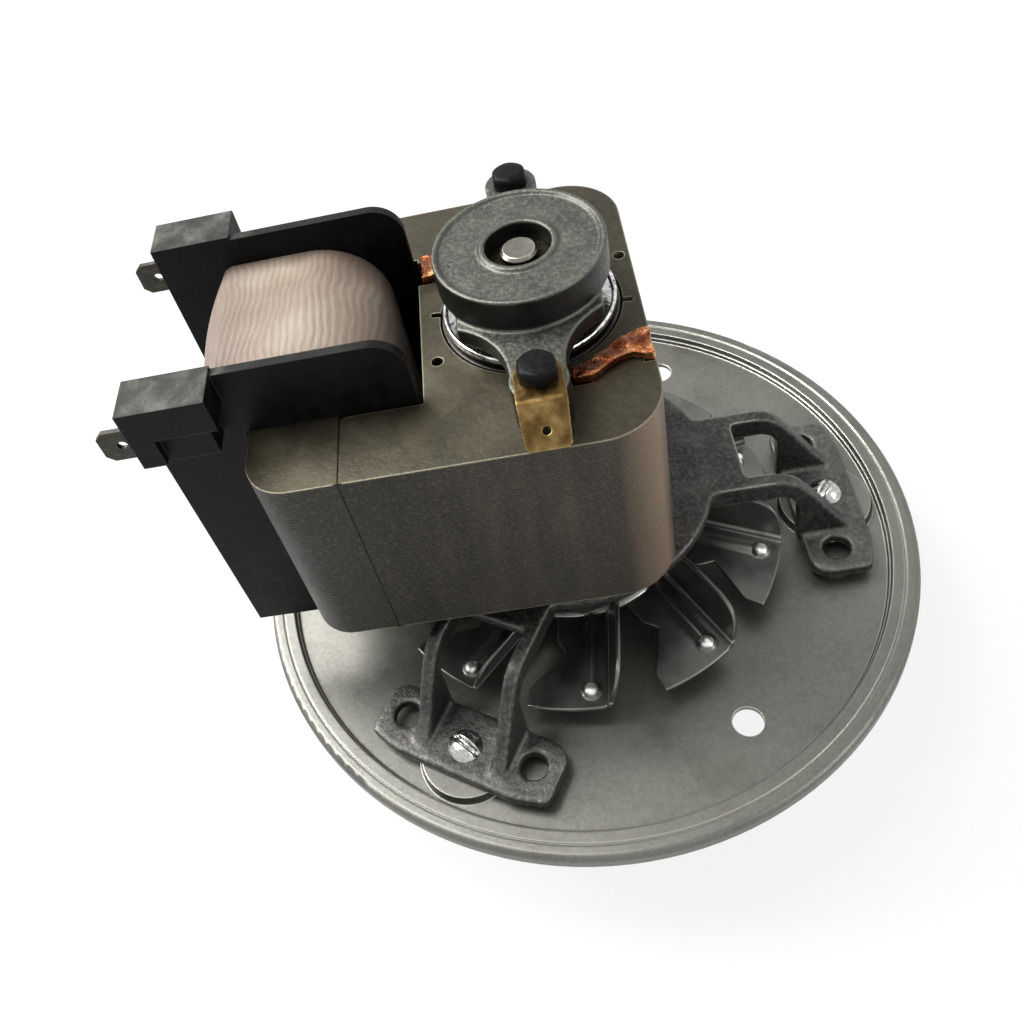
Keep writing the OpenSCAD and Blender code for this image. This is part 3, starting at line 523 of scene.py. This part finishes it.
# Painted shade where the winding turns down by the core.
core_end_shade = spread(tape, towards_core, 0.0, 0.55, -26.5, -21.0)
tape_colour = blend_colours(tape, core_end_shade, tape_colour, (0.22, 0.15, 0.09))
outer_end = spread(tape, towards_core, 0.75, 0.0, coil_low[0] + 4.0, coil_low[0] + 13.0)
tape_colour = blend_colours(tape, outer_end, tape_colour, (0.13, 0.086, 0.067))
finish_with(tape, tape_colour, spread(tape, crepe, 0.42, 0.66))
relief(tape, [(turns_of_wire, 0.05), (crepe, 0.14), (weave, 0.05)])
coil_depth = 8.4
wound = taped_winding(coil_low, coil_high, coil_low[[0, 2]] + coil_depth, coil_high[[0, 2]] - coil_depth)
winding = closed_surface("taped_winding", [(wound, True, True)])
place_piece("taped_winding", winding, tape, "housing", "winding", "coil_winding")


# Line tabs
# Two push-on tabs, stamped from sheet, tinned, and pressed into the terminal blocks. Dull grey brown
# with fine marks of the stamping and lighter edges.

tin = new_finish("dull_tin", 0.85, 0.42)
marks = grain(tin, stretched_place(tin, (0.3, 1.0, 1.0)), 0.6, 4.0)
tin_stops = [(0.3, (0.026, 0.025, 0.019)), (0.55, (0.046, 0.043, 0.034)), (0.72, (0.09, 0.084, 0.07))]
tin_colour = steps(tin, marks, tin_stops)
tin_colour = blend_colours(tin, edge_mask(tin, 0.2, 3.0), tin_colour, (0.13, 0.12, 0.1))
finish_with(tin, tin_colour, spread(tin, marks, 0.32, 0.5))
relief(tin, [(marks, 0.05)], 0.2)
for name in ("line_tab_front", "line_tab_rear"):
    coat_node(name, tin)


# Shading rings
# Heavy closed copper rings, upset into their slots, so that their top runs are lumpy and rounded.
# Orange red with bright worn lumps, dark where they have tarnished, and darker by the bore with painted
# shade.

def hammered(mesh, depth, wave):
    """
    Moves each point in along its normal by depth (mm) times (mean + 1) / 2, where the mean is that of three
    crossed sines with wave mm between their crests.
    """
    count = len(mesh.vertices)
    points, normals = np.empty(3 * count, np.float32), np.empty(3 * count, np.float32)
    mesh.vertices.foreach_get("co", points)
    mesh.vertex_normals.foreach_get("vector", normals)
    points, normals = points.reshape(-1, 3), normals.reshape(-1, 3)
    phase = points * 1000 * 2 * np.pi / wave
    height = np.sin(phase[:, 0] + 1.7 * phase[:, 1])
    height = height + np.sin(1.3 * phase[:, 1] - phase[:, 0] + 2)
    height = height + np.sin(0.7 * phase[:, 2])
    points -= normals * (depth / 1000 * (height / 3 + 1) / 2)[:, None]
    mesh.vertices.foreach_set("co", points.ravel())
    mesh.update()
    return mesh


copper = new_finish("bare_copper", 1.0, 0.25)
tarnish = grain(copper, stretched_place(copper), 2.4, 6.0, 0.65)
copper_stops = [(0.36, (0.1, 0.025, 0.012)), (0.5, (0.42, 0.155, 0.065)), (0.62, (0.85, 0.43, 0.2))]
copper_colour = steps(copper, tarnish, copper_stops)
from_axis = worked_out(copper, "ABSOLUTE", one_axis(copper, stretched_place(copper), "X"))
# Painted shade: darker towards the bore.
bore_side_shade = spread(copper, from_axis, 0.7, 0.0, 12.0, 19.0)
copper_colour = blend_colours(copper, bore_side_shade, copper_colour, (0.13, 0.025, 0.01))
finish_with(copper, copper_colour, spread(copper, tarnish, 0.3, 0.12))
relief(copper, [(tarnish, 0.4)])
ring_voxel = 0.25
ring_passes = 5
lump_depth = 0.5
lump_spacing = 7.0
for side in ("front", "rear"):
    ring = hammered(cast_from("shading_ring_" + side, ring_voxel, ring_passes), lump_depth, lump_spacing)
    place_piece("upset_ring_" + side, ring, copper, "housing", "copper", "shading_ring_" + side, crease=80.0)


# Rotor
# Ground steel shaft, with a painted highlight on its edges, turned lamination pack and a cage cast into
# it. The cage's end rings are bright, with a groove turned between two narrow lands; below the lands,
# groove and sides are painted dark as shade. Brass spacers and fibre washers sit at both ends.

ground_steel = new_finish("ground_steel", 1.0, 0.25)
rings = grain(ground_steel, stretched_place(ground_steel, (0.1, 0.1, 1.0)), 0.4, 4.0)
shaft_colour = steps(ground_steel, rings, [(0.3, (0.13, 0.12, 0.1)), (0.7, (0.26, 0.245, 0.21))])
# Painted highlight on the shaft's edges.
shaft_colour = blend_colours(ground_steel, edge_mask(ground_steel, 0.5, 4.0), shaft_colour, (0.9, 0.87, 0.8))
finish_with(ground_steel, shaft_colour, spread(ground_steel, rings, 0.18, 0.36))
relief(ground_steel, [(rings, 0.02)], 0.3)
coat_node("shaft", ground_steel)

turned_steel = new_finish("turned_steel", 0.95, 0.4)
rings = grain(turned_steel, stretched_place(turned_steel, (0.1, 0.1, 1.0)), 0.6, 5.0)
steel_colour = steps(turned_steel, rings, [(0.3, (0.05, 0.047, 0.04)), (0.7, (0.13, 0.125, 0.11))])
finish_with(turned_steel, steel_colour, spread(turned_steel, rings, 0.3, 0.5))
relief(turned_steel, [(rings, 0.03)], 0.2)
coat_node("rotor_core", turned_steel)


def rotor_cage(z_low, z_high, ring_h, r_out, r_in, bars, bar_r, bar_circle_r):
    """Two end rings with a rounded section and a groove, revolved, and straight round bars between them."""
    land = 0.7
    groove_depth = 0.9
    soft = 0.12
    round_h = 0.4
    width = r_out - r_in
    groove_z = ring_h - groove_depth
    profile = [(r_in, 0), (r_in, ring_h - round_h), (r_in + 0.15, ring_h - 0.1), (r_in + 0.5, ring_h)]
    profile += [(r_in + width * 0.5, ring_h), (r_in + width * 0.56, groove_z)]
    profile += [(r_out - land - 0.25, groove_z)]
    profile += [(r_out - land, ring_h - soft), (r_out - land / 2, ring_h), (r_out - soft, ring_h - soft)]
    profile += [(r_out, ring_h - round_h), (r_out, 0), (r_in, 0)]
    section = np.array(profile)
    grids = [(revolve(section + (0, z_high), 160), False, True)]
    grids.append((revolve(section * (1, -1) + (0, z_low), 160), False, True))
    bar = revolve([(0, z_low), (bar_r, z_low), (bar_r, z_high), (0, z_high)], 20)
    for angle in np.arange(bars) * 2 * np.pi / bars:
        place_of_bar = (bar_circle_r * math.cos(angle), bar_circle_r * math.sin(angle), 0)
        grids.append((bar + place_of_bar, False, True))
    return grids


cage_alloy = new_finish("cast_cage", 1.0, 0.12)
ripple = grain(cage_alloy, stretched_place(cage_alloy), 1.1, 4.0)
cage_stops = [(0.34, (0.08, 0.08, 0.08)), (0.44, (0.6, 0.6, 0.6)), (0.6, (0.95, 0.95, 0.95))]
cage_colour = steps(cage_alloy, ripple, cage_stops)
stack_low, stack_high = (1000 * corner[2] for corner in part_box("rotor_core"))
cage_low, cage_high = (1000 * np.array(corner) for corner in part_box("rotor_cage"))
cage_middle = (cage_low[2] + cage_high[2]) / 2
half_cage = (cage_high[2] - cage_low[2]) / 2
height = one_axis(cage_alloy, stretched_place(cage_alloy), "Z")
from_middle = worked_out(cage_alloy, "ABSOLUTE", worked_out(cage_alloy, "SUBTRACT", height, cage_middle))
# Painted shade: all but the tops of the lands is painted near black.
on_lands = spread(cage_alloy, from_middle, 0.0, 1.0, half_cage - 1.15, half_cage - 0.75)
cage_colour = blend_colours(cage_alloy, on_lands, (0.02, 0.02, 0.02), cage_colour)
finish_with(cage_alloy, cage_colour, spread(cage_alloy, ripple, 0.25, 0.08))
relief(cage_alloy, [(ripple, 0.05)])
cage_r = cage_high[0]
bar_count = 15
bar_r = 1.1
bar_inset = 1.4
ring_past_bars = 2.4
bar_circle_r = cage_r - bar_inset
ring_in_r = bar_circle_r - bar_r - ring_past_bars
cage_parts = rotor_cage(stack_low, stack_high, cage_high[2] - stack_high, cage_r, ring_in_r, bar_count, bar_r,
                        bar_circle_r)
place_piece("grooved_cage", closed_surface("grooved_cage", cage_parts), cage_alloy, "rotor", "rotor_alloy",
            "rotor_cage", crease=50.0)

brass = new_finish("turned_brass", 1.0, 0.3)
rings = grain(brass, stretched_place(brass, (0.1, 0.1, 1.0)), 0.5, 4.0)
finish_with(brass, steps(brass, rings, [(0.3, (0.16, 0.115, 0.05)), (0.7, (0.34, 0.26, 0.12))]),
            spread(brass, rings, 0.22, 0.42))
relief(brass, [(rings, 0.03)], 0.25)
fibre = new_finish("oiled_fibre", 0.0, 0.6)
fuzz = grain(fibre, stretched_place(fibre), 0.6, 5.0)
finish_with(fibre, steps(fibre, fuzz, [(0.3, (0.04, 0.025, 0.016)), (0.7, (0.11, 0.08, 0.05))]),
            spread(fibre, fuzz, 0.5, 0.75))
relief(fibre, [(fuzz, 0.05)])
for name in ("lower_spacer", "upper_spacer"):
    coat_node(name, brass)
for name in ("lower_washer", "upper_washer"):
    coat_node(name, fibre)


# Upper bracket
# Die-cast alloy: round bearing cap on a yoke with two legs. The top is a soft grainy grey with painted
# light, the sides are dark with painted shade, and the edges, the rim among them, carry a painted highlight.

cast_light = new_finish("light_casting", 0.75, 0.42)
place = stretched_place(cast_light)
sand = grain(cast_light, place, 0.7, 4.0, 0.7)
patches = grain(cast_light, place, 5.0, 5.0, 0.6)
# Painted shade on the sides and painted light on the upward faces, with a lighter grain there.
shaded_sides = steps(cast_light, patches, [(0.3, (0.012, 0.012, 0.0105)), (0.7, (0.024, 0.0235, 0.02))])
cap_stops = [(0.3, (0.045, 0.047, 0.039)), (0.55, (0.07, 0.073, 0.06)), (0.75, (0.108, 0.11, 0.094))]
lit_tops = steps(cast_light, patches, cap_stops)
cap_colour = blend_colours(cast_light, facing_up(cast_light, 0.15, 0.85), shaded_sides, lit_tops)
looks_up = facing_up(cast_light, 0.3, 0.9)
top_sand = worked_out(cast_light, "MULTIPLY", sand, looks_up)
light_grain = spread(cast_light, top_sand, 0.0, 0.4, 0.45, 0.75)
cap_colour = blend_colours(cast_light, light_grain, cap_colour, (0.24, 0.24, 0.215))
# Edges, the rim among them, get a painted highlight.
cap_colour = blend_colours(cast_light, edge_mask(cast_light, 0.5, 5.0), cap_colour, (0.6, 0.59, 0.53))
finish_with(cast_light, cap_colour, spread(cast_light, sand, 0.3, 0.52))
relief(cast_light, [(top_sand, 0.11), (patches, 0.1)])
cap_voxel = 0.25
cap_passes = 2
place_piece("cap_casting", cast_from("upper_bracket", cap_voxel, cap_passes), cast_light, "housing",
            "cast_alloy", "upper_bracket", crease=60.0)


# Earth tab
# Stamped and bent brass tab, clamped under the front bolt. Golden brown, with a few dark marks, bright
# edges and a soft bend.

tab_brass = new_finish("stamped_brass", 0.95, 0.32)
marks = grain(tab_brass, stretched_place(tab_brass), 2.2, 5.0)
tab_stops = [(0.28, (0.055, 0.032, 0.009)), (0.5, (0.12, 0.073, 0.023)), (0.72, (0.2, 0.135, 0.05))]
tab_colour = steps(tab_brass, marks, tab_stops)
tab_colour = blend_colours(tab_brass, edge_mask(tab_brass, 0.35, 3.0), tab_colour, (0.8, 0.66, 0.38))
finish_with(tab_brass, tab_colour, spread(tab_brass, marks, 0.25, 0.45))
relief(tab_brass, [(marks, 0.06)])
tab_voxel = 0.13
tab_passes = 5
place_piece("pressed_earth_tab", cast_from("earth_tab", tab_voxel, tab_passes), tab_brass, "housing",
            "earth_brass", "earth_tab", crease=60.0)


# Through bolts
# Two cold-headed hexagon bolts with a black oxide skin, which clamp both brackets to the stack. The
# heads are domed and their corners soft.

def hexagon_bolt(flat_to_flat, height, shank_r, shank_l):
    """
    The head's radius is (hexagon^-14 + circle^-14)^(-1/14), a soft smaller one of the two, where the circle
    shrinks over the top. The shank is round.
    """
    angle = np.linspace(0, 2 * np.pi, 144, endpoint=False)
    hexagon = flat_to_flat / 2 / np.cos((angle + np.pi / 6) % (np.pi / 3) - np.pi / 6)
    rows = []
    flank = [(0, 0.99), (0.12, 1.08), (height - 1.0, 1.08), (height - 0.55, 1.04), (height - 0.25, 0.95)]
    dome = [(height - 0.08, 0.84), (height, 0.7), (height + 0.05, 0.35), (height + 0.06, 0)]
    for z, circle in flank + dome:
        circle_r = circle * flat_to_flat / 2 + 1e-9
        radius = (hexagon ** -14 + circle_r ** -14.0) ** (-1 / 14)
        rows.append(np.stack([radius * np.cos(angle), radius * np.sin(angle), z + 0 * angle], -1))
    shank = revolve([(shank_r, 0), (shank_r, -shank_l), (0, -shank_l)], 144)
    return np.concatenate([shank[::-1], np.array(rows)])


black_oxide = new_finish("black_oxide", 0.0, 0.4, Specular_IOR_Level=0.08)
marks = grain(black_oxide, stretched_place(black_oxide), 1.0, 4.0)
oxide_colour = steps(black_oxide, marks, [(0.3, (0.003, 0.003, 0.003)), (0.7, (0.008, 0.008, 0.0078))])
finish_with(black_oxide, oxide_colour, spread(black_oxide, marks, 0.3, 0.5))
relief(black_oxide, [(marks, 0.05)])
bolt_head_h = 2.6
bolt_head_w = 5.8
bolt_dome_h = 0.06
bolt_shank_r = 1.75
for side in ("front", "rear"):
    bolt_low, bolt_high = (1000 * np.array(corner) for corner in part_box(side + "_bolt"))
    bolt_seat_z = bolt_high[2] - bolt_head_h
    bolt = hexagon_bolt(bolt_head_w, bolt_head_h - bolt_dome_h, bolt_shank_r, bolt_seat_z - bolt_low[2])
    bolt = bolt + ((bolt_low[0] + bolt_high[0]) / 2, (bolt_low[1] + bolt_high[1]) / 2, bolt_seat_z)
    bolt_mesh = closed_surface("hexagon_bolt_" + side, [(bolt, False, True)])
    place_piece("hexagon_bolt_" + side, bolt_mesh, black_oxide, "housing", "bolt_black", side + "_bolt",
                crease=50.0)


# Cooling fan
# Pressed from bright galvanised sheet: a disc with ten blades. Each blade has an embossed rib that ends
# in a dimple, and its one side is bent up as a vane. Brass hub above, push-on clip below.

def fan_blade(turn, fan_r, disc_r, middle_z):
    """
    One sheet from the blade's free side to the vane's top. Across the flat part y runs from the free side
    to the bend and x from the disc's edge to the rim's circle. The rib is a hill exp(-((y - rib_y) / w)^2)
    and the dimple exp(-(distance / r)^4). Then the sheet turns up on a round bend and follows the vane,
    whose height is a rounded hump along the blade.
    """
    bend_y = 6.4
    bend_r = 1.0
    lean = math.radians(75)
    vane_h = 8.2
    vane_foot_y = 7.5
    rib_y = 4.0
    rib_w = 0.95
    rib_h = 0.55
    dimple_x = fan_r - 3.8
    dimple_r = 1.3
    dimple_h = 1.0
    free_side_r = [18, 26.2, 28.9, 36.6, 43.3]
    free_side_y = [-2.4, -2.4, -0.7, -7.1, -7.9]
    outward = np.linspace(0, 1, 56)[:, None]
    across = np.linspace(0, 1, 40)[None, :]
    free_side = np.interp(disc_r + outward * (fan_r - disc_r), free_side_r, free_side_y)
    y = free_side + (bend_y - free_side) * across
    root = np.sqrt(disc_r ** 2 - y ** 2)
    x = root + outward * (np.sqrt(fan_r ** 2 - y ** 2) - root)
    rib = rib_h * np.exp(-((y - rib_y) / rib_w) ** 2) / (1 + np.exp(np.clip(3 * (x - dimple_x), -40, 40)))
    dimple = dimple_h * np.exp(-(((x - dimple_x) ** 2 + (y - rib_y) ** 2) / dimple_r ** 2) ** 2)
    flat = np.stack([x, y, middle_z + np.maximum(rib, dimple)], -1)
    bend = np.linspace(0, lean, 7)[None, 1:]
    bend_line = np.sqrt(fan_r ** 2 - vane_foot_y ** 2)
    x_vane = x[:, -1:] + outward * (bend_line - np.sqrt(fan_r ** 2 - bend_y ** 2))
    turned = np.stack([x_vane + 0 * bend, bend_y + bend_r * np.sin(bend) + 0 * outward,
                       middle_z + bend_r * (1 - np.cos(bend)) + 0 * outward], -1)
    rise = np.linspace(0, 1, 14)[None, 1:]
    hump = vane_h * (0.06 + 0.94 * np.clip(1 - np.abs(2 * outward - 1) ** 4.5, 0, 1) ** 0.5)
    climb = rise * hump
    vane = turned[:, -1:] + np.stack([0 * climb, climb * math.cos(lean), climb * math.sin(lean)], -1)
    return spun_about_z(np.concatenate([flat, turned, vane], 1), turn)


fan_zinc = new_finish("bright_sheet", 0.85, 0.26)
place = stretched_place(fan_zinc)
spangle = grain(fan_zinc, place, 5.0, 4.0, 0.6)
fine = grain(fan_zinc, place, 0.8, 4.0, 0.6)
fan_colour = steps(fan_zinc, spangle, [(0.3, (0.11, 0.112, 0.103)), (0.7, (0.175, 0.178, 0.164))])
# Edges painted white as painted highlight.
fan_colour = blend_colours(fan_zinc, edge_mask(fan_zinc, 0.25, 5.0), fan_colour, (1.0, 1.0, 0.94))
fan_r = 40.2
disc_r = 21.2
hub_hole_r = 3.1
sheet_t = 0.7
blade_count = 10
first_turn = -98
middle_z = 1000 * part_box("cooling_fan")[0][2] + sheet_t / 2
height = one_axis(fan_zinc, place, "Z")
# Painted highlight: the dimples' tops and a low band on the vanes are painted white.
above_ribs = spread(fan_zinc, height, 0.0, 1.0, middle_z + 0.85, middle_z + 1.2)
below_vanes = spread(fan_zinc, height, 1.0, 0.0, middle_z + 1.5, middle_z + 1.9)
dimple_glint = worked_out(fan_zinc, "MULTIPLY", above_ribs, below_vanes)
fan_colour = blend_colours(fan_zinc, dimple_glint, fan_colour, (1.0, 1.0, 0.94))
finish_with(fan_zinc, fan_colour, spread(fan_zinc, spangle, 0.26, 0.38))
relief(fan_zinc, [(fine, 0.004), (spangle, 0.02)])
sheets = []
for number in range(blade_count):
    turn = math.radians(first_turn + 360 / blade_count * number)
    sheets.append((fan_blade(turn, fan_r, disc_r, middle_z), False, False))
disc = revolve([(r, middle_z) for r in np.linspace(hub_hole_r, disc_r + 0.1, 8)], 120)
sheets.append((disc, False, True))
fan = place_piece("pressed_fan", closed_surface("pressed_fan", sheets), fan_zinc, "rotor", "fan_zinc",
                  "cooling_fan", crease=60.0)
wall = fan.modifiers.new("sheet", "SOLIDIFY")
wall.thickness = sheet_t / 1000
wall.offset = 0.0
for name, mat in (("fan_hub", brass), ("fan_clip", bright_zinc)):
    coat_node(name, mat)


# Floor and backdrop
# One white sheet under and behind the motor: it shows white to the camera and in reflections, and
# keeps a soft shadow.

def sheet_of_paper(name, size, height):
    """A flat square at one height: x and y run over an even grid of two by two points."""
    u, v = np.meshgrid([-0.5, 0.5], [-0.5, 0.5])
    points = np.stack([u * size, v * size, np.full_like(u, height)], -1).reshape(-1, 3)
    mesh = bpy.data.meshes.new(name)
    mesh.from_pydata(points.tolist(), [], [(0, 1, 3, 2)])
    sheet = bpy.data.objects.new(name, mesh)
    bpy.context.scene.collection.objects.link(sheet)
    return sheet


def seen_directly(tree):
    """1 for camera, glossy and transmission rays, and 0 for the rays that carry light to the object."""
    rays = tree.nodes.new("ShaderNodeLightPath").outputs
    total = rays["Is Camera Ray"]
    for name in ("Is Glossy Ray", "Is Transmission Ray"):
        either = tree.nodes.new("ShaderNodeMath")
        either.operation = "MAXIMUM"
        tree.links.new(total, either.inputs[0])
        tree.links.new(rays[name], either.inputs[1])
        total = either.outputs[0]
    return total


paper = new_finish("white_paper", 0.0, 0.9, Base_Color=(0.9, 0.9, 0.9, 1.0))
glow_share = 0.85
share = worked_out(paper, "MULTIPLY", seen_directly(paper.node_tree), glow_share)
glow = add_node(paper, "ShaderNodeEmission", Color=(1.0, 1.0, 1.0, 1.0), Strength=1.0).outputs[0]
mixed = add_node(paper, "ShaderNodeMixShader", i0=share)
paper.node_tree.links.new(paper.node_tree.nodes["Principled BSDF"].outputs[0], mixed.inputs[1])
paper.node_tree.links.new(glow, mixed.inputs[2])
paper.node_tree.links.new(mixed.outputs[0], paper.node_tree.nodes["Material Output"].inputs["Surface"])
floor_size = 6.0
floor_z = -0.0245
floor = sheet_of_paper("floor_sheet", floor_size, floor_z)
floor.data.materials.append(paper)


# Light
# A soft even room, a key panel on the coil's side that lays the motor's shadow over the right of the
# plate, two panels behind and above that the zinc reflects at the left, and a weak one at the right.

room = bpy.data.worlds.new("soft_room")
bpy.context.scene.world = room
room.use_nodes = True
strength = room.node_tree.nodes.new("ShaderNodeMapRange")
strength.inputs["To Min"].default_value = 0.32
strength.inputs["To Max"].default_value = 1.0
room.node_tree.links.new(seen_directly(room.node_tree), strength.inputs["Value"])
room.node_tree.links.new(strength.outputs["Result"], room.node_tree.nodes["Background"].inputs["Strength"])
room.node_tree.nodes["Background"].inputs["Color"].default_value = (1.0, 1.0, 1.0, 1.0)


def light_panel(name, at, aim, size, watts):
    """A square soft light at one point (m), turned so that it shines at another."""
    lamp = bpy.data.lights.new(name, "AREA")
    lamp.size = size
    lamp.energy = watts
    panel = bpy.data.objects.new(name, lamp)
    bpy.context.scene.collection.objects.link(panel)
    back = np.array(at, float) - np.array(aim, float)
    back /= np.linalg.norm(back)
    side = np.cross((0, 0, 1), back)
    side /= np.linalg.norm(side)
    turn = np.eye(4)
    turn[:3, :3] = np.stack([side, np.cross(back, side), back], 1)
    turn[:3, 3] = at
    panel.matrix_world = Matrix(turn.tolist())


light_panel("key_panel", (-0.72, 0.16, 0.58), (0, 0, 0.03), 0.3, 8.0)
light_panel("back_panel", (-0.44, 0.4, 0.8), (0, 0, 0.03), 0.4, 6.5)
light_panel("top_panel", (-0.3, 0.12, 0.95), (0, 0, 0.03), 0.3, 4.0)
light_panel("side_panel", (0.6, -0.35, 0.4), (0, 0, 0.03), 0.3, 1.5)


# Camera
# The photographer stood above and a little to the right of the front, with the camera turned on its
# axis. Distance, focal length and picture centre were fitted to the edges in the photograph.

azimuth, elevation, roll = np.radians([11.656, 45.758, 18.146])
aim = np.array([-26.086, 15.583, 33.0]) / 1000
distance = 0.21187
sensor_w = 36.0
frame_pixels = 1024
focal_pixels = 1064.66
centre_x = 416.75
centre_y = 405.5
back = np.array([math.sin(azimuth) * math.cos(elevation), -math.cos(azimuth) * math.cos(elevation),
                 math.sin(elevation)])
level = np.cross(-back, (0, 0, 1))
level /= np.linalg.norm(level)
rise = np.cross(level, -back)
right = math.cos(roll) * level - math.sin(roll) * rise
up = math.sin(roll) * level + math.cos(roll) * rise
stand = np.eye(4)
stand[:3, :3] = np.stack([right, up, back], 1)
stand[:3, 3] = aim + back * distance
lens = bpy.data.cameras.new("photo_camera")
lens.sensor_width = sensor_w
lens.lens = focal_pixels / frame_pixels * sensor_w
lens.shift_x = (frame_pixels / 2 - centre_x) / frame_pixels
lens.shift_y = (centre_y - frame_pixels / 2) / frame_pixels
lens.clip_start = 0.01
camera = bpy.data.objects.new("photo_camera", lens)
bpy.context.scene.collection.objects.link(camera)
camera.matrix_world = Matrix(stand.tolist())
bpy.context.scene.camera = camera
bpy.context.scene.view_settings.view_transform = "Standard"
